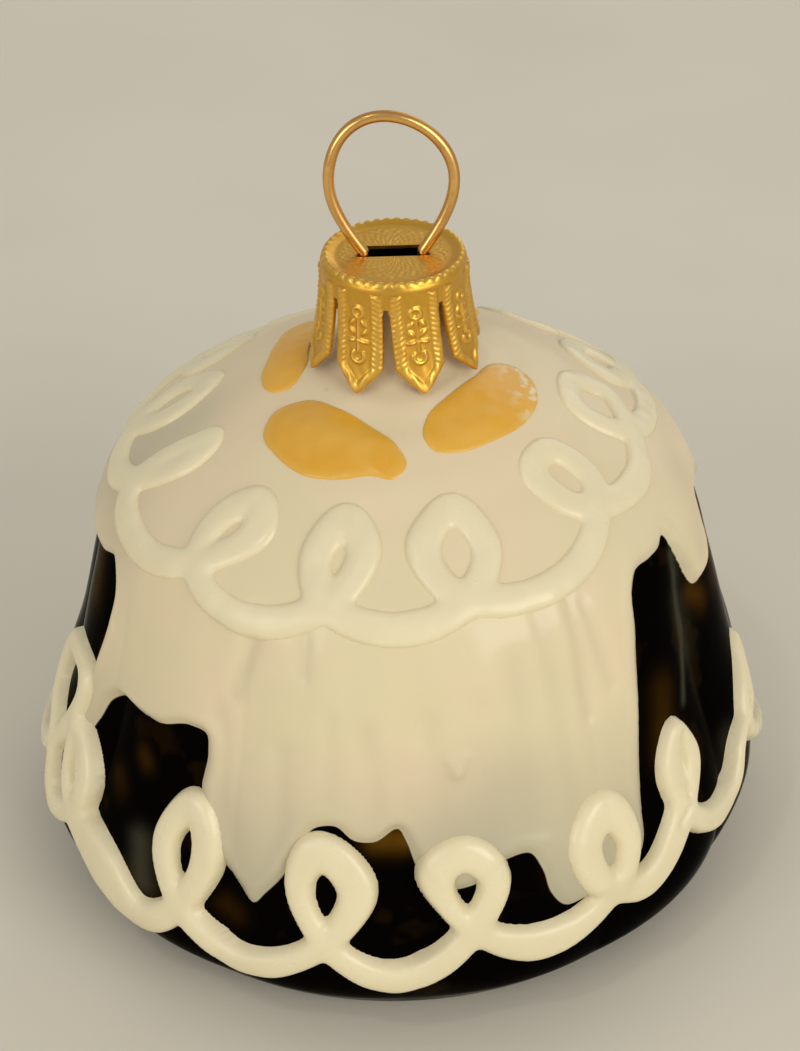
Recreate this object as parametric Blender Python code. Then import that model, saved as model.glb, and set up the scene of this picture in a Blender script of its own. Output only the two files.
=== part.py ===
"""A mouth-blown glass Christmas-tree ornament in the shape of an iced chocolate bundt cake.

Sub-parts, all in one rigid piece of work:
  glass_cake   the blown body: fluted dark sides, icing with drips, two rings of looped piping,
               four almonds and the short neck
  crown_cap    the pressed brass cap over the neck, with eight pointed prongs and a slot
  hanger_wire  the spring-wire loop whose legs pass through the slot into the neck

All dimensions are in millimetres and are turned into metres as each mesh is made.
+Z is up, the front is -Y, and the origin is the middle of the base.
An azimuth is measured in degrees from the front, growing to the right (+X).
A height "up the side" is the length of the outline from the edge of the base, so it can also place
things on the nearly flat top.
"""

import math

import bmesh
import bpy
import numpy as np

MM = 0.001

# --- Blown body --------------------------------------------------------------------------------
# Outline of the glass (radius, height), from the edge of the flat base to the foot of the neck.
OUTLINE = np.array([
    (30.2, 0.0), (31.5, 0.5), (33.3, 2.4), (35.3, 4.8), (36.3, 7.8), (35.9, 13.5), (32.8, 24.0),
    (30.2, 34.0), (29.0, 38.0), (27.3, 41.4), (23.2, 44.9), (18.0, 48.2), (12.0, 51.0), (8.0, 52.7)])
COLUMNS = 84                # facets round the body
FOOT_ROWS = (0.0, 1.1, 3.0, 5.6, 8.4, 11.0)     # heights up the side of the lowest rings of points
DARK_SHARES = (0.4, 0.75, 1.0)                  # rings from there up to the icing's edge
ICED_SHARES = (0.0, 0.22, 0.48, 0.74, 1.0)      # rings from the edge up to the shoulder
SHOULDER = 46.0
DOME_ROWS = (49.5, 54.0, 58.5, 63.0)            # and over the top
FLUTES = 12                 # grooves pressed down the side of the cake
FLUTE_FROM_FRONT = 2.0      # azimuth of the first groove
FLUTE_DEPTH = 1.0
ICED_FLUTE_DEPTH = 0.45     # what the icing leaves of a groove
FLUTE_FEET = (3.0, 12.0)    # heights up the side over which a groove deepens
FLUTE_HEADS = (36.0, 47.0)  # and over which it runs out at the shoulder
LEAN = 0.83                 # the top of the blown body stands this far to the right of its base
LEAN_HEIGHTS = (4.0, 22.0)  # levels over which it leans

NECK_FILLET = ((6.6, 53.0), (5.5, 53.9))        # radius and level where the top turns up
NECK_RADIUS = 5.3
NECK_FOOT = 55.0
NECK_TOP = 63.05
NECK_BORE = 3.9             # the wire's legs spring out inside it
BORE_FLOOR = 55.6

# --- Icing -------------------------------------------------------------------------------------
ICING_DEPTH = 0.6
# Lower edge of the icing: (azimuth, height up the side). The high runs are bare dark windows and
# the low points are the tips of the drips.
ICING_EDGE = np.array([
    (-96.0, 38.5), (-84.0, 40.0), (-74.0, 41.0), (-69.0, 41.5), (-67.5, 30.0), (-66.0, 23.5),
    (-63.0, 25.4), (-60.5, 29.0), (-57.0, 30.2), (-50.5, 30.8), (-44.8, 31.2), (-38.0, 32.6),
    (-35.2, 31.5), (-34.4, 22.5), (-29.0, 20.0), (-23.2, 17.4), (-19.0, 21.0), (-15.5, 25.8),
    (-12.5, 26.7), (-8.0, 25.2), (-5.4, 25.2), (-1.5, 26.4), (0.4, 24.3), (3.5, 20.5), (12.0, 22.4),
    (18.4, 22.8), (20.3, 21.0), (22.0, 17.6), (25.5, 15.8), (31.0, 16.2), (37.3, 17.0),
    (40.5, 27.2), (43.7, 38.9), (46.5, 43.2), (51.3, 44.3), (57.5, 44.6), (60.5, 44.2),
    (64.0, 40.6), (68.5, 37.5), (72.0, 37.7), (76.0, 41.0), (84.0, 43.2)])
BACK_DRIPS = 7              # drips out of sight behind, evenly spaced
BACK_DRIP_MIDDLE = 30.0     # mean height of the edge there
BACK_DRIP_SWING = 9.0       # and how far it swings up and down
BACK_DRIP_STEPS = 4         # points of the edge to a drip
BACK_DRIP_VARIETY = 0.25    # share of the swing that differs from drip to drip

# --- Piping ------------------------------------------------------------------------------------
# Each loop, left to right: azimuth of its foot, height up the side of its tip, half width, lean of
# the tip to the right, then azimuth and height of the lowest point of the swag that follows it.
LOWER_LOOPS = [
    (-104.0, 25.0, 5.2, 0.0, -93.0, 11.0), (-83.0, 27.5, 4.6, 0.0, -73.0, 14.5),
    (-61.5, 26.5, 5.2, -3.0, -46.4, 11.9), (-35.0, 25.2, 5.3, -1.1, -24.7, 11.0),
    (-11.0, 24.8, 5.8, -0.9, 0.5, 11.7), (6.6, 24.8, 5.1, 0.9, 20.5, 13.4),
    (34.5, 24.8, 4.8, -1.6, 38.0, 14.3), (45.5, 27.8, 4.9, 1.6, 62.0, 15.7),
    (77.0, 28.0, 4.6, 0.0, 88.2, 12.5)]
LOWER_BACK = (7, 25.0, 5.3, 11.5)   # loops out of sight: how many, tip, half width, swag height
UPPER_LOOPS = [
    (-97.0, 57.0, 4.8, 0.0, -87.0, 46.5), (-70.0, 57.6, 4.8, 2.2, -55.8, 45.3),
    (-40.0, 55.0, 3.8, 0.8, -33.5, 44.6), (-14.1, 54.7, 5.0, 0.7, -0.2, 45.4),
    (13.3, 55.7, 4.7, 0.2, 26.0, 46.2), (51.5, 57.0, 5.6, -1.6, 68.0, 48.1),
    (84.0, 56.5, 4.6, 1.5, 98.0, 47.4)]
UPPER_BACK = (5, 56.0, 4.8, 46.5)
LOWER_STRAND = (3.4, 1.5)   # width and height above the glass of a strand
UPPER_STRAND = (2.9, 1.45)
STRAND_ROOT = 0.7           # how far a strand reaches into the body
STRAND_SIDE = 0.35          # height of its upright sides
STRAND_CREST = 0.54         # share of its width that is flat on top
BEND_SHARE = 0.8            # half a strand's width is at most this share of its bend's radius
CROSSING_LIFT = 0.2         # a strand rides this much higher where it crosses itself
LOWER_STEPS = 14            # steps along one loop
UPPER_STEPS = 12

# --- Almonds -----------------------------------------------------------------------------------
# Azimuth and distance from the axis of each almond's middle, and the turn of its long way.
ALMONDS = [(-28.0, 12.3, -6.0), (46.5, 10.4, 5.0), (172.0, 11.5, 0.0), (-103.5, 10.5, 0.0)]
ALMOND_HALF = (7.5, 3.6)    # half length and half width
ALMOND_CROWN = 0.55         # rise of its middle above the icing
ALMOND_ROOT = 0.6           # how far it reaches into the icing
ALMOND_RINGS = ((0.55, 0.85), (1.0, 0.1))   # share of its size and of its rise, ring by ring
ALMOND_SPOKES = 16
ALMOND_POINT = 0.28         # how much narrower one end is

# --- Pressed cap -------------------------------------------------------------------------------
CAP_TOP = 64.2
CAP_RADIUS = 6.85           # to the outside of the rim
CAP_COLUMNS = 40            # facets round the cap
METAL = 0.45
CAP_WALL_RADIUS = 6.5
CAP_DISC_RADIUS = 3.9       # the sunk middle of the top
SLIT_TOP = 61.7             # the slits between the prongs start here
SHELL_LAP = 0.5             # the shell reaches this far below the slits' tops, inside the prongs
PRONGS = 8
FIRST_PRONG = 18.5          # azimuth of one prong
PRONG_TIP = (8.25, 53.75)   # radius and height of its tip
PRONG_HALF = (2.15, 2.4)    # half width at its root and where its point begins
POINT_SHARE = 0.24          # share of the prong's length taken by its point
PRONG_ROWS = (0.0, 0.4, 0.76, 0.9, 1.0)         # shares of its length
PRONG_COLUMNS = (-1.0, -0.65, 0.65, 1.0)        # shares of its half width
PRONG_BORDER = 0.12         # the raised border stands this proud
SLOT = (6.9, 2.1)           # opening in the top for the wire

# --- Wire --------------------------------------------------------------------------------------
WIRE_RADIUS = 0.53
LOOP_HALF_WIDTH = 5.65
LOOP_RISE = 5.95            # from the widest place up to the top
LOOP_WAIST = 6.75           # from the slot up to the widest place
LEG_HALF_GAP = 2.6          # half the distance between the legs at the slot
LEG_DEPTH = 6.2             # how far they reach below the top of the cap
LEG_SPLAY = 0.35            # and how far each moves outwards on the way
LOOP_SKEW = -0.6            # sideways shift of the loop's top, the wire being bent by hand
LOOP_TILT = 8.0             # degrees by which the loop leans back
LOOP_POINTS = 25
LEG_POINTS = 3


# --- Shape of the cake -------------------------------------------------------------------------

def smoothstep(low, high, value):
    """Goes from 0 at low to 1 at high, flat at both ends."""
    t = np.clip((value - low) / (high - low), 0.0, 1.0)
    return t * t * (3.0 - 2.0 * t)


def hermite(stations, values, at):
    """Smooth curve through values given at increasing stations, with central-difference slopes."""
    slopes = np.stack([np.gradient(column, stations) for column in values.T], axis=1)
    i = np.clip(np.searchsorted(stations, at) - 1, 0, len(stations) - 2)
    span = (stations[i + 1] - stations[i])[..., None]
    t = (at[..., None] - stations[i][..., None]) / span
    return ((2 * t**3 - 3 * t**2 + 1) * values[i] + (t**3 - 2 * t**2 + t) * span * slopes[i]
            + (-2 * t**3 + 3 * t**2) * values[i + 1] + (t**3 - t**2) * span * slopes[i + 1])


OUTLINE_STATIONS = np.concatenate([[0.0], np.cumsum(np.hypot(*np.diff(OUTLINE, axis=0).T))])
SIDE_LENGTH = OUTLINE_STATIONS[-1]


def outline(height_up):
    """Radius and level of the glass at a height up the side."""
    at = np.clip(np.asarray(height_up, float), 0.0, SIDE_LENGTH)
    both = hermite(OUTLINE_STATIONS, OUTLINE, at)
    return both[..., 0], both[..., 1]


def lean_at(level):
    """Sideways place of the body's axis at a level."""
    return LEAN * smoothstep(*LEAN_HEIGHTS, np.asarray(level, float))


def groove(azimuth, height_up):
    """Depth of the flutes: rounded ribs with narrow grooves between them."""
    rib = np.abs(np.sin(np.radians(FLUTES / 2 * (azimuth - FLUTE_FROM_FRONT)))) ** 0.8
    fade = smoothstep(*FLUTE_FEET, height_up) * (1 - smoothstep(*FLUTE_HEADS, height_up))
    return (1 - rib) * fade


def on_cake(azimuth, height_up, proud=0.0, flute_depth=ICED_FLUTE_DEPTH):
    """Point on the cake's surface, standing proud of the glass by some distance."""
    azimuth, height_up = np.broadcast_arrays(np.asarray(azimuth, float), np.asarray(height_up, float))
    radius, level = outline(height_up)
    radius_above, level_above = outline(height_up + 0.05)
    radius_below, level_below = outline(height_up - 0.05)
    run = np.hypot(radius_above - radius_below, level_above - level_below)
    distance = proud - flute_depth * groove(azimuth, height_up)
    radius = radius + distance * (level_above - level_below) / run
    level = level - distance * (radius_above - radius_below) / run
    angle = np.radians(azimuth)
    return np.stack([radius * np.sin(angle) + lean_at(level), -radius * np.cos(angle), level], -1)


def icing_edge(azimuth):
    """Height up the side of the icing's lower edge at each azimuth."""
    first, last = ICING_EDGE[0, 0], ICING_EDGE[-1, 0]
    shares = np.linspace(0, 1, BACK_DRIP_STEPS * BACK_DRIPS + 1)[1:-1]
    turns = shares * BACK_DRIPS
    variety = 1 - BACK_DRIP_VARIETY * (1 - np.sin(3 * turns))
    behind = BACK_DRIP_MIDDLE + BACK_DRIP_SWING * np.cos(2 * math.pi * turns) * variety
    around = np.concatenate([ICING_EDGE[:, 0], last + (first + 360 - last) * shares])
    heights = np.concatenate([ICING_EDGE[:, 1], behind])
    return np.interp((azimuth - first) % 360 + first, around, heights, period=360)


# --- Meshes ------------------------------------------------------------------------------------

def material(name, colour, roughness, metallic=0.0, coat=0.0):
    """A Principled finish."""
    made = bpy.data.materials.new(name)
    made.use_nodes = True
    shader = made.node_tree.nodes["Principled BSDF"]
    shader.inputs["Base Color"].default_value = (*colour, 1.0)
    shader.inputs["Roughness"].default_value = roughness
    shader.inputs["Metallic"].default_value = metallic
    shader.inputs["Coat Weight"].default_value = coat
    return made


def mesh_object(name, points, faces, finish, sharp=35.0):
    """An object from points in millimetres, smooth except over sharp edges."""
    mesh = bpy.data.meshes.new(name)
    mesh.from_pydata((np.asarray(points) * MM).tolist(), [], faces)
    mesh.validate()
    mesh.materials.append(finish)
    mesh.shade_smooth()
    mesh.set_sharp_from_angle(angle=math.radians(sharp))
    made = bpy.data.objects.new(name, mesh)
    bpy.context.scene.collection.objects.link(made)
    return made


def ring_faces(rows, columns, first=0, closed_rows=False):
    """Quads between successive rings of points, each ring closed on itself."""
    faces = []
    for row in range(rows if closed_rows else rows - 1):
        below, above = row * columns, (row + 1) % rows * columns
        for column in range(columns):
            right = (column + 1) % columns
            faces.append((first + below + column, first + below + right,
                          first + above + right, first + above + column))
    return faces


def joined(base, extras, use_self=False):
    """Unites the extras with the base by one Boolean on a collection, and removes them."""
    holder = bpy.data.collections.new(base.name + "_extras")
    for extra in extras:
        bpy.context.scene.collection.objects.unlink(extra)
        holder.objects.link(extra)
    union = base.modifiers.new("union", "BOOLEAN")
    union.operation = "UNION"
    union.operand_type = "COLLECTION"
    union.collection = holder
    union.solver = "EXACT"
    union.use_self = use_self
    union.material_mode = "TRANSFER"
    apply_modifiers(base)
    keep_main_shell(base)
    for extra in extras:
        bpy.data.objects.remove(extra)
    bpy.data.collections.remove(holder)


def keep_main_shell(target):
    """Tidies a fused mesh down to its largest shell.

    Triangles that lie back to back on the same three points are dropped, pockets that fusing seals
    are filled, and loose scraps go.
    """
    shape = bmesh.new()
    shape.from_mesh(target.data)
    bmesh.ops.triangulate(shape, faces=shape.faces)
    by_corners = {}
    for face in shape.faces:
        by_corners.setdefault(frozenset(face.verts), []).append(face)
    folded = [face for pair in by_corners.values() if len(pair) > 1 for face in pair]
    bmesh.ops.delete(shape, geom=folded, context="FACES")
    waiting = set(shape.faces)
    shells = []
    while waiting:
        shell, edge_of_shell = set(), [waiting.pop()]
        while edge_of_shell:
            face = edge_of_shell.pop()
            shell.add(face)
            for side in face.edges:
                fresh = [other for other in side.link_faces if other in waiting]
                waiting.difference_update(fresh)
                edge_of_shell.extend(fresh)
        shells.append(shell)
    shells.sort(key=len)
    scraps = [face for shell in shells[:-1] for face in shell]
    bmesh.ops.delete(shape, geom=scraps, context="FACES")
    shape.to_mesh(target.data)
    shape.free()


def apply_modifiers(target):
    """Replaces an object's mesh by what its modifiers make of it."""
    bpy.context.view_layer.update()
    evaluated = target.evaluated_get(bpy.context.evaluated_depsgraph_get())
    result = bpy.data.meshes.new_from_object(evaluated)
    target.modifiers.clear()
    target.data = result


def lathe(profile, columns):
    """Rings of points round the leaning axis from a profile of (radius, level), low to high."""
    angle = np.arange(columns) * 2 * math.pi / columns - math.pi
    rings = [np.stack([radius * np.sin(angle) + LEAN, -radius * np.cos(angle),
                       np.full(columns, level)], -1) for radius, level in profile]
    return np.concatenate(rings)


def blown_body(chocolate, icing):
    """The blown shape: rings up the side, over the icing's edge, up the neck and down its bore."""
    azimuth = np.arange(COLUMNS) * 360.0 / COLUMNS - 180.0
    edge = icing_edge(azimuth)
    dark = [on_cake(azimuth, height, 0.0, FLUTE_DEPTH) for height in FOOT_ROWS]
    dark += [on_cake(azimuth, FOOT_ROWS[-1] + (edge - FOOT_ROWS[-1]) * share, 0.0, FLUTE_DEPTH)
             for share in DARK_SHARES]
    iced = [on_cake(azimuth, edge + (SHOULDER - edge) * share, ICING_DEPTH) for share in ICED_SHARES]
    iced += [on_cake(azimuth, height, ICING_DEPTH) for height in DOME_ROWS]
    neck = lathe([*NECK_FILLET, (NECK_RADIUS, NECK_FOOT), (NECK_RADIUS, NECK_TOP),
                  (NECK_BORE, NECK_TOP), (NECK_BORE, BORE_FLOOR)], COLUMNS)
    points = np.concatenate([*dark, *iced, neck])
    rows = len(points) // COLUMNS
    faces = ring_faces(rows, COLUMNS)
    faces.append(tuple(range(COLUMNS - 1, -1, -1)))
    faces.append(tuple(range(len(points) - COLUMNS, len(points))))
    body = mesh_object("glass_cake", points, faces, chocolate)
    body.data.materials.append(icing)
    for face in body.data.polygons:
        if len(dark) - 1 <= face.index // COLUMNS < rows - 1:
            face.material_index = 1
    return body


def loop_course(loops, steps):
    """Course of a looped line round the cake, as azimuths, heights up the side and lifts.

    Each loop is one turn of a stretched trochoid: the hand moves on steadily while it circles, so
    the line runs along a low swag, climbs to the right, turns back over the top and crosses itself.
    """
    phase = np.arange(steps) * 2 * math.pi / steps
    rise = (1 - np.cos(phase)) / 2
    azimuths, heights, lifts = [], [], []
    for before, (foot, tip, half_width, lean, swag, swag_height) in zip([loops[-1]] + loops[:-1], loops):
        start = before[4] if before[4] < foot else before[4] - 360
        start_height = before[5]
        advance = np.where(phase < math.pi, start + (foot - start) * phase / math.pi,
                           foot + (swag - foot) * (phase / math.pi - 1))
        low = start_height + (swag_height - start_height) * smoothstep(0, 2 * math.pi, phase)
        height = low + (tip - low) * rise
        radius, _ = outline(height)
        azimuths.append(advance + np.degrees((half_width * np.sin(phase) + lean * rise**2) / radius))
        heights.append(height)
        lifts.append(-CROSSING_LIFT * np.sin(phase) / 2)
    return np.concatenate(azimuths), np.concatenate(heights), np.concatenate(lifts)


def with_back_loops(loops, back):
    """Completes a ring of loops with evenly spaced ones behind."""
    count, tip, half_width, swag_height = back
    first, last = loops[0][0] + 360, loops[-1][0]
    pitch = (first - last) / (count + 1)
    return loops + [(last + pitch * (i + 1), tip, half_width, 0.0, last + pitch * (i + 1.5), swag_height)
                    for i in range(count)]


def piped_ring(name, loops, steps, strand, finish):
    """A strand of icing, flat underneath and narrower on top, carried along a looped course."""
    azimuth, height, lift = loop_course(loops, steps)
    width, top = strand
    centre = on_cake(azimuth, height)
    normal = on_cake(azimuth, height, 1.0) - centre
    along = np.roll(centre, -1, axis=0) - np.roll(centre, 1, axis=0)
    across = np.cross(along, normal)
    across /= np.linalg.norm(across, axis=1)[:, None]
    step = np.linalg.norm(along, axis=1) / 2
    heading = along / np.linalg.norm(along, axis=1)[:, None]
    bend = np.linalg.norm(np.roll(heading, -1, axis=0) - np.roll(heading, 1, axis=0), axis=1) / 2
    width = np.minimum(width, 2 * BEND_SHARE * step / bend)[:, None]
    left = [(-0.5, -STRAND_ROOT), (-0.5, STRAND_SIDE), (-STRAND_CREST / 2, top)]
    section = left + [(-share, rise) for share, rise in reversed(left)]
    rings = [centre + across * (width * share) + normal * (rise + lift[:, None])
             for share, rise in section]
    points = np.stack(rings, axis=1).reshape(-1, 3)
    return mesh_object(name, points, ring_faces(len(centre), len(section), closed_rows=True), finish)


def almond(name, azimuth, distance, turn, finish):
    """A domed almond, wider at one end, lying on the top with its long way round the cake."""
    round_angle = np.arange(ALMOND_SPOKES) * 2 * math.pi / ALMOND_SPOKES
    half_length, half_width = ALMOND_HALF
    along = half_length * np.cos(round_angle)
    across = half_width * np.sin(round_angle) * (1 - ALMOND_POINT * np.cos(round_angle))
    facing, slant = math.radians(azimuth), math.radians(turn)
    heights = np.linspace(SIDE_LENGTH, SHOULDER, 400)
    radii, _ = outline(heights)

    def placed(share, proud):
        """The outline shrunk to a share of its size and laid on the top, some way proud of it."""
        u = share * (along * math.cos(slant) - across * math.sin(slant))
        v = distance + share * (along * math.sin(slant) + across * math.cos(slant))
        out = np.hypot(u, v)
        azimuths = np.degrees(facing + np.arctan2(u, v))
        return on_cake(azimuths, np.interp(out, radii, heights), ICING_DEPTH + proud)

    domed = [placed(share, ALMOND_CROWN * rise) for share, rise in ALMOND_RINGS]
    points = np.concatenate([placed(0.0, ALMOND_CROWN)[:1], *domed,
                             placed(1.0, -ALMOND_ROOT), placed(0.0, -ALMOND_ROOT)[:1]])
    faces = ring_faces(len(domed) + 1, ALMOND_SPOKES, first=1)
    last = 1 + len(domed) * ALMOND_SPOKES
    for i in range(ALMOND_SPOKES):
        j = (i + 1) % ALMOND_SPOKES
        faces.append((0, 1 + j, 1 + i))
        faces.append((len(points) - 1, last + i, last + j))
    return mesh_object(name, points, faces, finish)


def cap_shell(brass):
    """The cap's top and the plain band above the slits, a thin pressed cup with a rolled rim."""
    foot = SLIT_TOP - SHELL_LAP
    rim, wall, inner = CAP_RADIUS, CAP_WALL_RADIUS, CAP_WALL_RADIUS - METAL
    outside = [(wall + 0.05, foot), (wall, CAP_TOP - 1.0), (rim, CAP_TOP - 0.55),
               (rim - 0.15, CAP_TOP - 0.1), (rim - 0.7, CAP_TOP), (rim - 1.4, CAP_TOP - 0.2),
               (CAP_DISC_RADIUS, CAP_TOP - 0.12)]
    inside = [(CAP_DISC_RADIUS, CAP_TOP - 0.12 - METAL), (inner - 0.25, CAP_TOP - 0.2 - METAL),
              (inner, CAP_TOP - 0.7 - METAL), (inner + 0.05, foot)]
    points = lathe(outside + inside, CAP_COLUMNS)
    faces = ring_faces(len(outside), CAP_COLUMNS)
    under = len(outside) * CAP_COLUMNS
    faces += ring_faces(len(inside), CAP_COLUMNS, first=under)
    faces.append(tuple(range(under - CAP_COLUMNS, under)))
    faces.append(tuple(range(under + CAP_COLUMNS - 1, under - 1, -1)))
    seam = len(points) - CAP_COLUMNS
    for i in range(CAP_COLUMNS):
        j = (i + 1) % CAP_COLUMNS
        faces.append((seam + i, seam + j, j, i))
    return mesh_object("crown_cap", points, faces, brass)


def prong(name, azimuth, brass):
    """One pointed prong: a bent plate that widens a little, flares outwards and ends in a point."""
    shares, across = np.array(PRONG_ROWS), np.array(PRONG_COLUMNS)
    root_radius, (tip_radius, tip_level) = CAP_WALL_RADIUS, PRONG_TIP
    top = SLIT_TOP + 0.4
    level = top + (tip_level - top) * shares
    flare = root_radius + (tip_radius - root_radius) * (0.45 * shares + 0.55 * shares**2.2)
    straight = PRONG_HALF[0] + (PRONG_HALF[1] - PRONG_HALF[0]) * shares / (1 - POINT_SHARE)
    pointed = PRONG_HALF[1] * np.clip((1.04 - shares) / (POINT_SHARE + 0.04), 0, 1) ** 0.8
    half = np.minimum(straight, pointed)
    angle = math.radians(azimuth) + across[None, :] * half[:, None] / flare[:, None]
    sides = []
    for proud in (PRONG_BORDER, -METAL):
        radius = flare[:, None] + proud
        sides.append(np.stack([radius * np.sin(angle) + LEAN, -radius * np.cos(angle),
                               np.broadcast_to(level[:, None], angle.shape)], -1).reshape(-1, 3))
    rows, columns = len(shares), len(across)
    back = rows * columns
    faces = []
    for row in range(rows - 1):
        for column in range(columns - 1):
            a = row * columns + column
            faces.append((a, a + columns, a + columns + 1, a + 1))
            faces.append((back + a, back + a + 1, back + a + columns + 1, back + a + columns))
    rim = [column for column in range(columns)]
    rim += [row * columns + columns - 1 for row in range(1, rows)]
    rim += [back - 2 - column for column in range(columns - 1)]
    rim += [row * columns for row in range(rows - 2, 0, -1)]
    for a, b in zip(rim, rim[1:] + rim[:1]):
        faces.append((a, b, back + b, back + a))
    return mesh_object(name, np.concatenate(sides), faces, brass)


def slot_cutter(finish):
    """The block that opens the slot in the top of the cap."""
    half_length, half_width = SLOT[0] / 2, SLOT[1] / 2
    corners = [(LEAN + x * half_length, y * half_width, CAP_TOP + z)
               for z in (-2.0, 2.0) for x, y in ((-1, -1), (1, -1), (1, 1), (-1, 1))]
    faces = [(3, 2, 1, 0), (4, 5, 6, 7), (0, 1, 5, 4), (1, 2, 6, 5), (2, 3, 7, 6), (3, 0, 4, 7)]
    cutter = mesh_object("slot_cutter", corners, faces, finish)
    cutter.hide_render = True
    cutter.display_type = "WIRE"
    return cutter


def crown_cap(brass):
    """The pressed cap: shell and prongs in one piece, with the slot cut through."""
    cap = cap_shell(brass)
    pitch = 360.0 / PRONGS
    prongs = [prong(f"prong_{i}", FIRST_PRONG + pitch * i, brass) for i in range(PRONGS)]
    joined(cap, prongs)
    cutter = slot_cutter(brass)
    cut = cap.modifiers.new("slot", "BOOLEAN")
    cut.operation = "DIFFERENCE"
    cut.object = cutter
    cut.solver = "EXACT"
    apply_modifiers(cap)
    bpy.data.objects.remove(cutter)
    return cap


def wire_course():
    """Points along the wire, from one leg's end over the loop to the other, before it leans."""
    climb = np.linspace(0, 1, LOOP_POINTS // 3)[:-1]
    side = LEG_HALF_GAP + (LOOP_HALF_WIDTH - LEG_HALF_GAP) * np.sin(climb * math.pi / 2)
    left = np.stack([-side, LOOP_WAIST * climb], -1)
    turn = np.linspace(-math.pi / 2, math.pi / 2, LOOP_POINTS - 2 * len(climb))
    arch = np.stack([LOOP_HALF_WIDTH * np.sin(turn) + LOOP_SKEW * np.cos(turn)**2,
                     LOOP_WAIST + LOOP_RISE * np.cos(turn)], -1)
    loop = np.concatenate([left, arch, (left * (-1, 1))[::-1]])
    leg_shares = np.linspace(0, 1, LEG_POINTS + 1)[1:]
    legs = []
    for tip, side in ((loop[0], -1), (loop[-1], 1)):
        out = side * LEG_SPLAY * leg_shares**2
        legs.append(np.stack([tip[0] + out, tip[1] - LEG_DEPTH * leg_shares], -1))
    return np.concatenate([legs[0][::-1], loop, legs[1]])


def hanger_wire(copper):
    """The spring wire: a round loop, pinched to the slot, with two legs inside the neck."""
    course = wire_course()
    curve = bpy.data.curves.new("hanger_wire", "CURVE")
    curve.dimensions = "3D"
    curve.bevel_depth = WIRE_RADIUS * MM
    curve.bevel_resolution = 2
    curve.use_fill_caps = True
    spline = curve.splines.new("POLY")
    spline.points.add(len(course) - 1)
    tilt = math.radians(LOOP_TILT)
    for point, (side, up) in zip(spline.points, course):
        back = max(up, 0.0) * math.sin(tilt)
        rise = up * math.cos(tilt) if up > 0 else up
        point.co = ((LEAN + side) * MM, back * MM, (CAP_TOP + rise) * MM, 1.0)
    curve.materials.append(copper)
    wire = bpy.data.objects.new("hanger_wire", curve)
    bpy.context.scene.collection.objects.link(wire)
    return wire


def main():
    """Builds the three parts in an empty scene."""
    for old in list(bpy.data.objects):
        bpy.data.objects.remove(old)
    chocolate = material("chocolate_lacquer", (0.012, 0.008, 0.006), 0.12, coat=1.0)
    icing = material("cream_icing", (0.72, 0.66, 0.52), 0.3)
    piping = material("white_piping", (0.80, 0.77, 0.63), 0.3)
    nut = material("painted_almond", (0.72, 0.42, 0.10), 0.35)
    brass = material("pressed_brass", (0.72, 0.46, 0.12), 0.33, metallic=1.0)
    copper = material("gold_wire", (0.66, 0.38, 0.12), 0.25, metallic=1.0)

    body = blown_body(chocolate, icing)
    lower_loops = with_back_loops(LOWER_LOOPS, LOWER_BACK)
    upper_loops = with_back_loops(UPPER_LOOPS, UPPER_BACK)
    lower = piped_ring("lower_piping", lower_loops, LOWER_STEPS, LOWER_STRAND, piping)
    upper = piped_ring("upper_piping", upper_loops, UPPER_STEPS, UPPER_STRAND, piping)
    almonds = [almond(f"almond_{i}", *place, nut) for i, place in enumerate(ALMONDS)]
    joined(body, [lower, upper] + almonds, use_self=True)
    crown_cap(brass)
    hanger_wire(copper)


main()
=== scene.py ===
"""Looks of a mouth-blown glass tree ornament in the shape of an iced chocolate bundt cake.

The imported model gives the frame: the blown glass body, the pressed crown cap and the wire loop.
Each is replaced here by a fine surface of the same size, with its own painted or metal finish.

Lengths are in millimetres and become metres as each mesh is made. +Z is up and the front is -Y.
An azimuth is in degrees from the front, growing to the right. A height "up the side" is a length
along the cake's outline from the edge of its base, so it also places things on the nearly flat top.
"""

import logging
import math
from dataclasses import dataclass
from enum import Enum
from functools import cached_property
from typing import Iterable, Mapping, Sequence

import bpy
import numpy as np
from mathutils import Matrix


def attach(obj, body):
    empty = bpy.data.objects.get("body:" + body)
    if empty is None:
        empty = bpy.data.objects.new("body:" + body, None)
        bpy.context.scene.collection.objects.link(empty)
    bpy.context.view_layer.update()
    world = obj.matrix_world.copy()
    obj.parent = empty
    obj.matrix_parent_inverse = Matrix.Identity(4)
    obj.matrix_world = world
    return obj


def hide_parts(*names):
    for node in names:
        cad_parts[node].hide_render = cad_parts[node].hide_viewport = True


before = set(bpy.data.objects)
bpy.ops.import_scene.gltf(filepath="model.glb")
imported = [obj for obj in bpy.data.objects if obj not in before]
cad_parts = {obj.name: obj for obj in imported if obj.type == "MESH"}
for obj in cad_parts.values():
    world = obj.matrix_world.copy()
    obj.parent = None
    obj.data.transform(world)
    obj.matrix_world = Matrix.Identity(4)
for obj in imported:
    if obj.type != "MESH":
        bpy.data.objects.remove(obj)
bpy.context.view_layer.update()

MM = 0.001
LOG = logging.getLogger("bundt_cake_ornament")


# --- Curves and surfaces ------------------------------------------------------------------------

def smoothstep(low: float, high: float, value: np.ndarray) -> np.ndarray:
    """Rises from 0 at low to 1 at high with level ends: 3t^2 - 2t^3 of the share t of the way.

    Args:
        low: Where the rise starts.
        high: Where it ends.
        value: Places to evaluate.

    Returns:
        The risen share at each place.
    """
    t = np.clip((value - low) / (high - low), 0.0, 1.0)
    return t * t * (3.0 - 2.0 * t)


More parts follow.
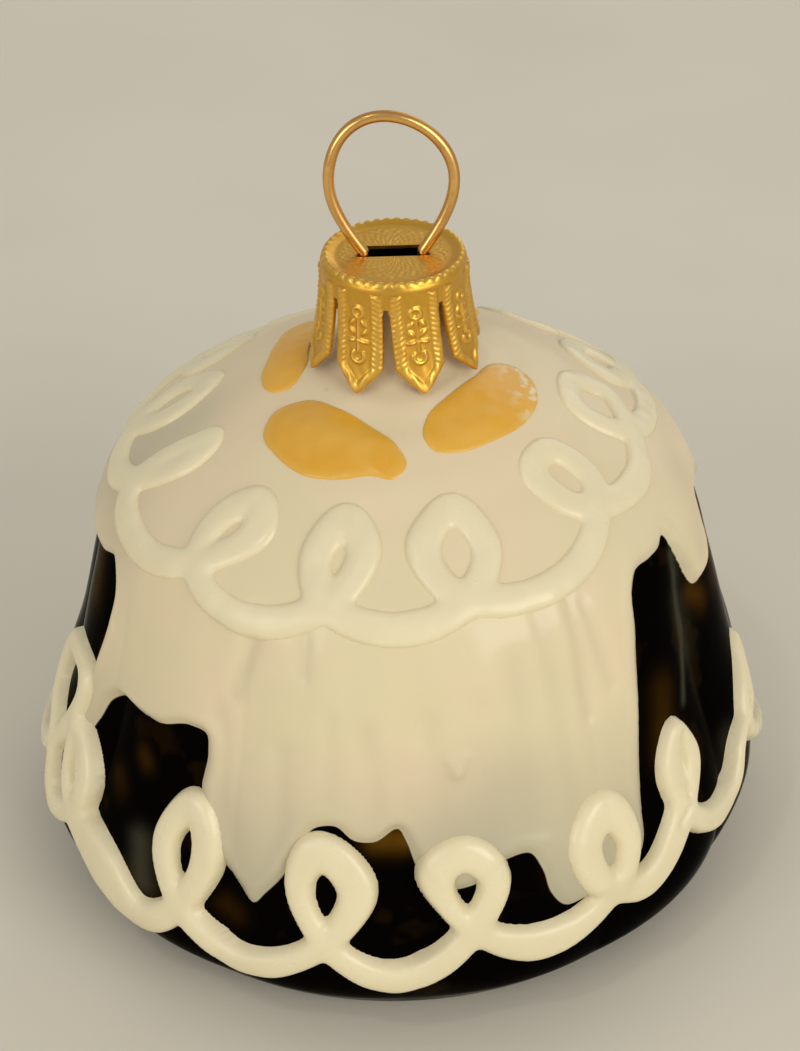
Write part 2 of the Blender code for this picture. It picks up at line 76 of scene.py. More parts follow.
def hermite(stations: np.ndarray, values: np.ndarray, at: np.ndarray) -> np.ndarray:
    """Smooth curve through values at increasing stations: cubics with central-difference slopes.

    Args:
        stations: Increasing places of the given values.
        values: One row of values for each station.
        at: Places to evaluate.

    Returns:
        The curve's values, with one more axis than at.
    """
    slopes = np.stack([np.gradient(column, stations) for column in values.T], axis=1)
    i = np.clip(np.searchsorted(stations, at) - 1, 0, len(stations) - 2)
    span = (stations[i + 1] - stations[i])[..., None]
    t = (at[..., None] - stations[i][..., None]) / span
    return ((2 * t**3 - 3 * t**2 + 1) * values[i] + (t**3 - 2 * t**2 + t) * span * slopes[i]
            + (-2 * t**3 + 3 * t**2) * values[i + 1] + (t**3 - t**2) * span * slopes[i + 1])


def lengths_along(points: np.ndarray) -> np.ndarray:
    """Length along the chords between some points, from the first of them up to each."""
    return np.concatenate([[0.0], np.cumsum(np.linalg.norm(np.diff(points, axis=0), axis=1))])


def through_points(points: np.ndarray, spacing: float) -> np.ndarray:
    """Even run of points along the smooth curve through some points, by length along their chords.

    Args:
        points: The points, one row each.
        spacing: Distance between the new points.

    Returns:
        The new points, without the last one.
    """
    stations = lengths_along(points)
    return hermite(stations, points, np.arange(0.0, stations[-1], spacing))


def turned_points(radius: np.ndarray, angle: np.ndarray, level: np.ndarray,
                  shift: float | np.ndarray = 0.0) -> np.ndarray:
    """Points round an upright axis: x is r sin a plus the shift, y is -r cos a, z is the level.

    Args:
        radius: Distance r from the axis.
        angle: Angle a from the front, in radians.
        level: Height over the ground.
        shift: How far the axis stands to the right.

    Returns:
        The points, with one more axis than the given arrays.
    """
    radius, angle, level = np.broadcast_arrays(radius, angle, level)
    return np.stack([radius * np.sin(angle) + shift, -radius * np.cos(angle), level], -1)


def grid_quads(rows: int, columns: int) -> np.ndarray:
    """Quads of a grid whose columns close on themselves, seen from outside when rows go up.

    Args:
        rows: Number of rows of points.
        columns: Number of points in a row.

    Returns:
        Point numbers, four to a quad.
    """
    row, column = np.meshgrid(np.arange(rows - 1), np.arange(columns), indexing="ij")
    right = (column + 1) % columns
    low, high = row * columns, (row + 1) * columns
    return np.stack([low + column, low + right, high + right, high + column], -1).reshape(-1, 4)


def closed_sheet(outer: np.ndarray, inner: np.ndarray,
                 quads: np.ndarray) -> tuple[np.ndarray, np.ndarray, np.ndarray]:
    """Makes a sheet of some thickness: outer faces, the same faces turned over, and walls between.

    A wall stands on each edge that only one quad uses.

    Args:
        outer: Points of the outer side.
        inner: The matching points of the inner side.
        quads: Faces of the outer side.

    Returns:
        The points, the faces, and which of the given points are used.
    """
    used, local = np.unique(quads, return_inverse=True)
    local = local.reshape(-1, 4)
    count = len(used)
    edges = np.stack([local, np.roll(local, -1, axis=1)], -1).reshape(-1, 2)
    low, high = np.sort(edges, axis=1).T
    _, index, uses = np.unique(low * count + high, return_index=True, return_counts=True)
    start, end = edges[index[uses == 1]].T
    walls = np.stack([end, start, start + count, end + count], 1)
    faces = np.concatenate([local, local[:, ::-1] + count, walls])
    return np.concatenate([outer[used], inner[used]]), faces, used


def swept_tube(course: np.ndarray, radius: np.ndarray, sides: int) -> tuple[np.ndarray, list]:
    """Round tube along a course: circles square to it, turned from one to the next without twist.

    Args:
        course: Points along the middle.
        radius: Radius at each point.
        sides: Number of points in a circle.

    Returns:
        The points and the faces, with both ends closed.
    """
    heading = np.gradient(course, axis=0)
    heading /= np.linalg.norm(heading, axis=1)[:, None]
    side = np.cross(heading, (0.0, 1.0, 0.0))
    side /= np.linalg.norm(side, axis=1)[:, None]
    over = np.cross(side, heading)
    angle = np.arange(sides) * 2 * math.pi / sides
    rings = (course[:, None] + radius[:, None, None]
             * (side[:, None] * np.cos(angle)[:, None] + over[:, None] * np.sin(angle)[:, None]))
    faces = grid_quads(len(course), sides)[:, ::-1].tolist()
    last = (len(course) - 1) * sides
    faces.append(list(range(sides)))
    faces.append(list(range(last + sides - 1, last - 1, -1)))
    return rings.reshape(-1, 3), faces


def slow_noise(azimuth: np.ndarray, height: np.ndarray, waves: Sequence[tuple[int, float]],
               seed: int) -> np.ndarray:
    """Soft unevenness that closes round the cake: a sum of cosines of azimuth and height.

    Each wave turns a whole number of times round the cake, drifts with the height by its slant, and
    has its own phase, drawn once from the seed. The sum is divided by the number of waves.

    Args:
        azimuth: Degrees from the front.
        height: Height up the side.
        waves: Turns round the cake and slant of each wave.
        seed: Seed of the phases.

    Returns:
        Values between about -1 and 1.
    """
    phases = np.random.default_rng(seed).uniform(0, 2 * math.pi, len(waves))
    total = np.zeros(np.broadcast_shapes(np.shape(azimuth), np.shape(height)))
    for (turns, slant), phase in zip(waves, phases):
        total += np.cos(np.radians(azimuth) * turns + height * slant + phase)
    return total / len(waves)


def make_piece(name: str, points: np.ndarray, faces: Iterable, finish: bpy.types.Material,
               attributes: Mapping[str, np.ndarray] | None = None,
               sharp: float = 180.0) -> bpy.types.Object:
    """Puts points in millimetres and faces into a smooth mesh piece that rides on the root body.

    Args:
        name: The piece's name.
        points: One row for each point.
        faces: Point numbers of each face.
        finish: The piece's material.
        attributes: Values for each point that the material reads, by name.
        sharp: Edges over this angle, in degrees, stay sharp.

    Returns:
        The new object.
    """
    mesh = bpy.data.meshes.new(name)
    mesh.from_pydata((np.asarray(points) * MM).tolist(), [],
                     faces.tolist() if isinstance(faces, np.ndarray) else list(faces))
    mesh.shade_smooth()
    if sharp < 180.0:
        mesh.set_sharp_from_angle(angle=math.radians(sharp))
    for key, values in (attributes or {}).items():
        layer = mesh.attributes.new(key, "FLOAT", "POINT")
        layer.data.foreach_set("value", np.asarray(values, np.float32))
    mesh.materials.append(finish)
    piece = bpy.data.objects.new(name, mesh)
    bpy.context.scene.collection.objects.link(piece)
    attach(piece, "root")
    LOG.info("%s: %d faces", name, len(mesh.polygons))
    return piece


# --- Material nodes -----------------------------------------------------------------------------

class Slot(Enum):
    """The record's material slots."""

    GLASS = "painted_glass"
    BRASS = "pressed_brass"
    WIRE = "gold_wire"


def add_node(tree: bpy.types.NodeTree, kind: str, inputs: Mapping | None = None,
             **settings: object) -> bpy.types.Node:
    """Adds a node, sets its properties, and fills its inputs with values or links.

    Args:
        tree: The node tree.
        kind: The node's type.
        inputs: Value or source socket for each input, by name or number.
        **settings: The node's own properties.

    Returns:
        The new node.
    """
    made = tree.nodes.new(kind)
    for key, value in settings.items():
        setattr(made, key, value)
    for key, value in (inputs or {}).items():
        if isinstance(value, bpy.types.NodeSocket):
            tree.links.new(value, made.inputs[key])
        else:
            made.inputs[key].default_value = value
    return made


def ramp(tree: bpy.types.NodeTree, value: bpy.types.NodeSocket, low: float,
         high: float) -> bpy.types.NodeSocket:
    """Share of the way from low to high, eased at both ends.

    Args:
        tree: The node tree.
        value: The value to turn into a share.
        low: Value that gives 0.
        high: Value that gives 1.

    Returns:
        The share's socket.
    """
    made = add_node(tree, "ShaderNodeMapRange", {"Value": value, "From Min": low, "From Max": high},
                    interpolation_type="SMOOTHSTEP")
    return made.outputs["Result"]


def arithmetic(tree: bpy.types.NodeTree, operation: str, first: object,
               second: object) -> bpy.types.NodeSocket:
    """Result of a Math node on two values or sockets.

    Args:
        tree: The node tree.
        operation: The Math node's operation.
        first: First value or socket.
        second: Second value or socket.

    Returns:
        The result's socket.
    """
    made = add_node(tree, "ShaderNodeMath", {0: first, 1: second}, operation=operation)
    return made.outputs[0]


def blend_colours(tree: bpy.types.NodeTree, share: object, first: object,
                  second: object) -> bpy.types.NodeSocket:
    """Mix of two colours or colour sockets by a share.

    Args:
        tree: The node tree.
        share: Share of the second colour.
        first: First colour, as three numbers, or its socket.
        second: Second colour.

    Returns:
        The mixed colour's socket.
    """
    colours = [c if isinstance(c, bpy.types.NodeSocket) else (*c, 1.0) for c in (first, second)]
    made = add_node(tree, "ShaderNodeMix", {0: share, 6: colours[0], 7: colours[1]},
                    data_type="RGBA")
    return made.outputs[2]


def new_group(name: str, outputs: Sequence[str],
              **inputs: float) -> tuple[bpy.types.NodeTree, bpy.types.Node, bpy.types.Node]:
    """Makes an empty shader node group, into which a Vector and some named values go.

    Args:
        name: The group's name.
        outputs: Names of the outputs, all plain values.
        **inputs: Default of each value that goes in.

    Returns:
        The group, its input node and its output node.
    """
    tree = bpy.data.node_groups.new(name, "ShaderNodeTree")
    tree.interface.new_socket(name="Vector", in_out="INPUT", socket_type="NodeSocketVector")
    for key, default in inputs.items():
        socket = tree.interface.new_socket(name=key, in_out="INPUT", socket_type="NodeSocketFloat")
        socket.default_value = default
    for key in outputs:
        tree.interface.new_socket(name=key, in_out="OUTPUT", socket_type="NodeSocketFloat")
    return tree, tree.nodes.new("NodeGroupInput"), tree.nodes.new("NodeGroupOutput")


def group_noise(tree: bpy.types.NodeTree, given: bpy.types.Node, detail: float,
                roughness: float = 0.5, finer: float = 1.0) -> bpy.types.NodeSocket:
    """Noise on a group's own Vector, at its Scale or some times finer.

    Args:
        tree: The group.
        given: The group's input node.
        detail: Number of finer layers.
        roughness: Strength of each finer layer.
        finer: How many times finer than Scale.

    Returns:
        The noise's socket.
    """
    scale = given.outputs["Scale"]
    if finer != 1.0:
        scale = arithmetic(tree, "MULTIPLY", scale, finer)
    made = add_node(tree, "ShaderNodeTexNoise", {"Vector": given.outputs["Vector"], "Scale": scale,
                                                 "Detail": detail, "Roughness": roughness})
    return made.outputs["Fac"]


def mottle_group() -> bpy.types.NodeTree:
    """Group "soft mottle": slow cloudy variation of paint, from 0 to 1.

    Returns:
        The group, with Vector and Scale going in and Mottle coming out.
    """
    tree, given, out = new_group("soft mottle", ["Mottle"], Scale=100.0)
    clouds = group_noise(tree, given, 3.0, roughness=0.55)
    tree.links.new(ramp(tree, clouds, 0.34, 0.66), out.inputs["Mottle"])
    return tree


def peel_group() -> bpy.types.NodeTree:
    """Group "paint skin": the fine unevenness of brushed enamel, as a height from 0 to 1.

    Returns:
        The group, with Vector and Scale going in and Height coming out.
    """
    tree, given, out = new_group("paint skin", ["Height"], Scale=900.0)
    ripple = group_noise(tree, given, 2.0, roughness=0.4)
    fine = arithmetic(tree, "MULTIPLY", group_noise(tree, given, 1.0, finer=3.1), 0.25)
    tree.links.new(arithmetic(tree, "ADD", ripple, fine), out.inputs["Height"])
    return tree


def speck_group() -> bpy.types.NodeTree:
    """Group "stray specks": sparse round specks of dust and paint, 1 inside a speck.

    A cell of a Voronoi pattern holds a speck where its random number is under Amount.

    Returns:
        The group, with Vector, Scale and Amount going in and Mask coming out.
    """
    tree, given, out = new_group("stray specks", ["Mask"], Scale=300.0, Amount=0.03)
    cells = add_node(tree, "ShaderNodeTexVoronoi", {"Vector": given.outputs["Vector"],
                                                    "Scale": given.outputs["Scale"]})
    number = add_node(tree, "ShaderNodeSeparateColor", {0: cells.outputs["Color"]})
    chosen = arithmetic(tree, "LESS_THAN", number.outputs[0], given.outputs["Amount"])
    near = arithmetic(tree, "SUBTRACT", 1.0, ramp(tree, cells.outputs["Distance"], 0.05, 0.12))
    tree.links.new(arithmetic(tree, "MULTIPLY", chosen, near), out.inputs["Mask"])
    return tree


def grain_group() -> bpy.types.NodeTree:
    """Group "metal grain": tarnish and handling marks on thin metal.

    Returns:
        The group, with Vector and Scale going in, and Tarnish and Height, each from 0 to 1, out.
    """
    tree, given, out = new_group("metal grain", ["Tarnish", "Height"], Scale=700.0)
    patches = group_noise(tree, given, 5.0, roughness=0.62)
    tree.links.new(ramp(tree, patches, 0.38, 0.68), out.inputs["Tarnish"])
    tree.links.new(group_noise(tree, given, 2.0, finer=4.0), out.inputs["Height"])
    return tree


@dataclass(frozen=True)
class EffectGroups:
    """The node groups that several finishes share, each built once."""

    mottle: bpy.types.NodeTree
    peel: bpy.types.NodeTree
    specks: bpy.types.NodeTree
    grain: bpy.types.NodeTree

    @classmethod
    def build(cls) -> "EffectGroups":
        """Builds the four groups."""
        return cls(mottle_group(), peel_group(), speck_group(), grain_group())


class FinishSheet:
    """A material under construction: its tree, its shader and its object coordinates."""

    def __init__(self, name: str, roughness: float, metallic: float = 0.0,
                 specular: float = 0.5) -> None:
        """Starts the material and sets the values that are the same all over it.

        Args:
            name: The material's name.
            roughness: Plain roughness, unless a node drives it.
            metallic: 1 for metal.
            specular: Strength of the plain gloss.
        """
        self.material = bpy.data.materials.new(name)
        self.material.use_nodes = True
        self.tree = self.material.node_tree
        self.shader = self.tree.nodes["Principled BSDF"]
        self.shader.inputs["Roughness"].default_value = roughness
        self.shader.inputs["Metallic"].default_value = metallic
        self.shader.inputs["Specular IOR Level"].default_value = specular
        self.place = add_node(self.tree, "ShaderNodeTexCoord").outputs["Object"]

    def group(self, tree: bpy.types.NodeTree, **values: float) -> bpy.types.Node:
        """Places a shared group, fed with object coordinates and some values.

        Args:
            tree: The group.
            **values: Values of its other inputs.

        Returns:
            The group's node.
        """
        given = {key.capitalize(): value for key, value in values.items()}
        return add_node(self.tree, "ShaderNodeGroup", {"Vector": self.place, **given},
                        node_tree=tree)

    def attribute(self, name: str) -> bpy.types.NodeSocket:
        """Value of a mesh attribute."""
        made = add_node(self.tree, "ShaderNodeAttribute", attribute_name=name)
        return made.outputs["Fac"]

    def feed(self, name: str, value: bpy.types.NodeSocket) -> None:
        """Joins a socket to one of the shader's inputs."""
        self.tree.links.new(value, self.shader.inputs[name])

    def roughen(self, value: bpy.types.NodeSocket, low: float, high: float) -> None:
        """Lets the roughness run from low to high as a value runs from 0 to 1."""
        made = add_node(self.tree, "ShaderNodeMapRange",
                        {"Value": value, "To Min": low, "To Max": high})
        self.feed("Roughness", made.outputs["Result"])

    def bump(self, height: bpy.types.NodeSocket, strength: float, depth: float) -> None:
        """Feeds the shader's normal from a height.

        Args:
            height: Height from 0 to 1.
            strength: Share of the full effect.
            depth: Height of 1, in millimetres.
        """
        made = add_node(self.tree, "ShaderNodeBump",
                        {"Height": height, "Strength": strength, "Distance": depth * MM})
        self.feed("Normal", made.outputs["Normal"])


# --- Finishes -----------------------------------------------------------------------------------

@dataclass(frozen=True)
class PaintedGlassFinish:
    """Near-black brown lacquer where the icing isn't, cream enamel where it is."""

    lacquer: tuple = (0.0016, 0.0012, 0.0008)
    foot: tuple = (0.020, 0.016, 0.009)
    # colour of the painted reflections: greyish streaks and patches on the black lacquer
    dull_and_sheen: tuple = (0.042, 0.040, 0.026)
    amber: tuple = (0.12, 0.052, 0.004)
    cream: tuple = (0.78, 0.680, 0.430)
    pink: tuple = (0.81, 0.665, 0.440)
    grey: tuple = (0.50, 0.455, 0.312)
    speck: tuple = (0.16, 0.08, 0.03)

    def build(self, groups: EffectGroups) -> bpy.types.Material:
        """Makes the material.

        Args:
            groups: The shared effects.

        Returns:
            The material, which reads the attributes icing_reach, hollow, thinness, amber and sheen.
        """
        sheet = FinishSheet("lacquer_and_icing", 0.2, specular=0.06)
        sheet.shader.inputs["IOR"].default_value = 1.06
        tree = sheet.tree
        reach = sheet.attribute("icing_reach")
        iced = ramp(tree, reach, -0.07, 0.07)
        clouds = sheet.group(groups.mottle, scale=130.0).outputs["Mottle"]
        broad = sheet.group(groups.mottle, scale=62.0).outputs["Mottle"]
        edge = arithmetic(tree, "SUBTRACT", 1.0, ramp(tree, reach, 0.0, 2.2))
        greyed = arithmetic(tree, "MULTIPLY", edge, arithmetic(tree, "MULTIPLY", clouds, 0.5))
        # icing greyer towards the bottom, and greyed as painted shade where the marks lie
        greyed = arithmetic(tree, "MAXIMUM", greyed, sheet.attribute("grey_and_shade"))
        # painted shade: the grooves of the folds are greyed
        fold_shade = arithmetic(tree, "MULTIPLY", sheet.attribute("fold_shade"), 0.22)
        cream = blend_colours(tree, broad, self.cream, self.pink)
        cream = blend_colours(tree, arithmetic(tree, "MAXIMUM", greyed, fold_shade), cream, self.grey)
        specks = sheet.group(groups.specks, scale=170.0, amount=0.012).outputs["Mask"]
        cream = blend_colours(tree, arithmetic(tree, "MULTIPLY", specks, 0.6), cream, self.speck)
        glow = arithmetic(tree, "MULTIPLY", sheet.attribute("amber"), ramp(tree, clouds, -1.0, 0.6))
        blotches = arithmetic(tree, "MULTIPLY", ramp(tree, clouds, 0.75, 1.0), 0.06)
        level = add_node(tree, "ShaderNodeSeparateXYZ", {0: sheet.place}).outputs["Z"]
        foot = arithmetic(tree, "SUBTRACT", 1.0, ramp(tree, level, 0.0005, 0.008))
        dark = blend_colours(tree, arithmetic(tree, "MULTIPLY", foot, clouds), self.lacquer,
                             self.foot)
        # painted reflection: the sheen marks grey the black lacquer
        dull_and_sheen = arithmetic(tree, "MULTIPLY", sheet.attribute("sheen"), ramp(tree, clouds, -0.6, 0.8))
        dark = blend_colours(tree, dull_and_sheen, dark, self.dull_and_sheen)
        dark = blend_colours(tree, arithmetic(tree, "MAXIMUM", glow, blotches), dark, self.amber)
        sheet.feed("Base Color", blend_colours(tree, iced, dark, cream))
        sheet.roughen(iced, 0.12, 0.5)
        sheet.shader.inputs["Coat Roughness"].default_value = 0.22
        sheet.feed("Coat Weight", arithmetic(tree, "MULTIPLY", iced, 0.6))
        skin = sheet.group(groups.peel, scale=520.0).outputs["Height"]
        sheet.bump(arithmetic(tree, "MULTIPLY", skin, iced), 0.35, 0.05)
        return sheet.material


@dataclass(frozen=True)
class PipingFinish:
    """Thick white enamel of the piped loops, a little greener and whiter than the icing."""

    white: tuple = (0.85, 0.755, 0.49)
    shade: tuple = (0.80, 0.70, 0.45)
    speck: tuple = (0.05, 0.04, 0.03)

    def build(self, groups: EffectGroups) -> bpy.types.Material:
        """Makes the material.

        Args:
            groups: The shared effects.

        Returns:
            The material, which reads the attribute crest, 0 at a strand's foot and 1 on its top.
        """
        sheet = FinishSheet("piped_enamel", 0.3, specular=0.5)
        tree = sheet.tree
        broad = sheet.group(groups.mottle, scale=150.0).outputs["Mottle"]
        foot = arithmetic(tree, "SUBTRACT", 1.0, ramp(tree, sheet.attribute("crest"), 0.0, 0.5))
        share = arithmetic(tree, "MAXIMUM", arithmetic(tree, "MULTIPLY", broad, 0.6), foot)
        colour = blend_colours(tree, share, self.white, self.shade)
        specks = sheet.group(groups.specks, scale=120.0, amount=0.006).outputs["Mask"]
        sheet.feed("Base Color", blend_colours(tree, specks, colour, self.speck))
        sheet.roughen(broad, 0.24, 0.36)
        sheet.bump(sheet.group(groups.peel, scale=650.0).outputs["Height"], 0.3, 0.05)
        return sheet.material


@dataclass(frozen=True)
class AlmondFinish:
    """Ochre enamel with soft brush clouds, and cream streaks over an end as a painted highlight."""

    ochre: tuple = (0.78, 0.400, 0.032)
    pale: tuple = (0.80, 0.455, 0.070)
    # colour of the painted highlight streaks
    painted_highlight: tuple = (0.80, 0.68, 0.40)

    def build(self, groups: EffectGroups) -> bpy.types.Material:
        """Makes the material.

        Args:
            groups: The shared effects.

        Returns:
            The material, which reads the attributes rim and wipe.
        """
        sheet = FinishSheet("ochre_enamel", 0.3, specular=0.45)
        tree = sheet.tree
        clouds = sheet.group(groups.mottle, scale=210.0).outputs["Mottle"]
        rim = ramp(tree, sheet.attribute("rim"), 0.78, 1.0)
        share = arithmetic(tree, "MAXIMUM", arithmetic(tree, "MULTIPLY", clouds, 0.7), rim)
        colour = blend_colours(tree, share, self.ochre, self.pale)
        streaks = sheet.group(groups.mottle, scale=900.0).outputs["Mottle"]
        # painted highlight: cream streaks over the outer end
        painted_highlight = arithmetic(tree, "MULTIPLY", sheet.attribute("highlight_share"), ramp(tree, streaks, 0.3, 0.9))
        sheet.feed("Base Color", blend_colours(tree, painted_highlight, colour, self.painted_highlight))
        sheet.roughen(clouds, 0.26, 0.4)
        sheet.bump(sheet.group(groups.peel, scale=700.0).outputs["Height"], 0.35, 0.04)
        return sheet.material


@dataclass(frozen=True)
class PressedBrassFinish:
    """Gold-coloured pressed sheet: satin, duller in the recesses and brighter on the relief."""

    bright: tuple = (0.86, 0.53, 0.105)
    dull_and_sheen: tuple = (0.72, 0.40, 0.057)

    def build(self, groups: EffectGroups) -> bpy.types.Material:
        """Makes the material.

        Args:
            groups: The shared effects.

        Returns:
            The material, which reads the attribute relief, 0 in a recess and 1 on a raised line.
        """
        sheet = FinishSheet("pressed_brass", 0.33, metallic=1.0)
        tree = sheet.tree
        grain = sheet.group(groups.grain, scale=500.0)
        raised = ramp(tree, sheet.attribute("relief"), 0.1, 0.9)
        wear = arithmetic(tree, "MULTIPLY", grain.outputs["Tarnish"], 0.45)
        share = arithmetic(tree, "SUBTRACT", raised, wear)
        sheet.feed("Base Color", blend_colours(tree, share, self.dull_and_sheen, self.bright))
        sheet.roughen(grain.outputs["Tarnish"], 0.33, 0.46)
        sheet.bump(grain.outputs["Height"], 0.35, 0.03)
        return sheet.material


@dataclass(frozen=True)
class GoldWireFinish:
    """Coppery gold spring wire, bright along its length with a few duller marks."""

    bright: tuple = (0.80, 0.48, 0.155)
    dull_and_sheen: tuple = (0.60, 0.31, 0.09)

    def build(self, groups: EffectGroups) -> bpy.types.Material:
        """Makes the material.

        Args:
            groups: The shared effects.

        Returns:
            The material, which reads the attribute draw_line.
        """
        sheet = FinishSheet("gold_wire", 0.25, metallic=1.0)
        tree = sheet.tree
        grain = sheet.group(groups.grain, scale=420.0)
        lines = ramp(tree, sheet.attribute("draw_line"), 0.2, 0.9)
        share = arithmetic(tree, "MULTIPLY", arithmetic(tree, "MAXIMUM", lines,
                                                        grain.outputs["Tarnish"]), 0.8)
        sheet.feed("Base Color", blend_colours(tree, share, self.bright, self.dull_and_sheen))
        sheet.roughen(share, 0.2, 0.38)
        sheet.bump(grain.outputs["Height"], 0.25, 0.02)
        return sheet.material


@dataclass(frozen=True)
class TableFinish:
    """Plain pale card under the ornament."""

    colour: tuple = (0.78, 0.730, 0.61)
    shade: tuple = (0.75, 0.700, 0.58)

    def build(self, groups: EffectGroups) -> bpy.types.Material:
        """Makes the material.

        Args:
            groups: The shared effects.

        Returns:
            The material.
        """
        sheet = FinishSheet("pale_card", 0.75, specular=0.2)
        clouds = sheet.group(groups.mottle, scale=14.0).outputs["Mottle"]
        sheet.feed("Base Color", blend_colours(sheet.tree, clouds, self.colour, self.shade))
        return sheet.material


# --- The cake -----------------------------------------------------------------------------------

@dataclass(frozen=True)
class CakeForm:
    """The blown shape without its icing: an outline turned round, fluted and leaning a little."""

    outline: tuple = ((30.2, 0.0), (31.5, 0.5), (33.3, 2.4), (35.3, 4.8), (36.3, 7.8), (35.9, 13.5),
                      (32.8, 24.0), (30.2, 34.0), (29.0, 38.0), (27.3, 41.4), (23.2, 44.9),
                      (18.0, 48.2), (12.0, 51.0), (8.0, 52.7))
    flutes: int = 12
    first_groove: float = 2.0
    feet: tuple = (3.0, 12.0)
    heads: tuple = (36.0, 47.0)
    lean: float = 0.83
    lean_levels: tuple = (4.0, 22.0)

    @cached_property
    def points(self) -> np.ndarray:
        """The outline's points (radius, level)."""
        return np.array(self.outline)

    @cached_property
    def stations(self) -> np.ndarray:
        """Height up the side of each of the outline's points."""
        return lengths_along(self.points)

    @property
    def side_length(self) -> float:
        """Height up the side of the outline's last point."""
        return float(self.stations[-1])

    def radius_and_level(self, height: np.ndarray) -> tuple[np.ndarray, np.ndarray]:
        """Radius and level at a height up the side, on the smooth curve through the outline.

        Args:
            height: Height up the side.

        Returns:
            The radius and the level.
        """
        both = hermite(self.stations, self.points, np.clip(height, 0.0, self.side_length))
        return both[..., 0], both[..., 1]

    def axis_shift(self, level: np.ndarray) -> np.ndarray:
        """Sideways place of the leaning axis at a level: a smooth step of the whole lean."""
        return self.lean * smoothstep(*self.lean_levels, level)

    def groove(self, azimuth: np.ndarray, height: np.ndarray) -> np.ndarray:
        """Share of a flute's full depth: one less a rounded rib, |sin| to the power 0.8.

        Args:
            azimuth: Degrees from the front.
            height: Height up the side.

        Returns:
            1 in the middle of a groove, 0 on a rib and beyond the flutes' ends.
        """
        rib = np.abs(np.sin(np.radians(self.flutes / 2 * (azimuth - self.first_groove)))) ** 0.8
        return (1 - rib) * smoothstep(*self.feet, height) * (1 - smoothstep(*self.heads, height))

    def place(self, azimuth: np.ndarray, height: np.ndarray, proud: np.ndarray) -> np.ndarray:
        """Points off the turned outline, moved out along its normal, before any flute.

        Args:
            azimuth: Degrees from the front.
            height: Height up the side.
            proud: Distance out of the outline.

        Returns:
            The points, in millimetres.
        """
        azimuth, height, proud = np.broadcast_arrays(azimuth, height, proud)
        radius, level = self.radius_and_level(height)
        above = self.radius_and_level(height + 0.05)
        below = self.radius_and_level(height - 0.05)
        run, climb = above[0] - below[0], above[1] - below[1]
        length = np.hypot(run, climb)
        level = level - proud * run / length
        return turned_points(radius + proud * climb / length, np.radians(azimuth), level,
                             self.axis_shift(level))


@dataclass(frozen=True)
class Mark:
    """A soft mark along a straight line: a groove or ridge in the icing, or a tint of the glass."""

    start: tuple
    end: tuple
    depth: float
    width: float


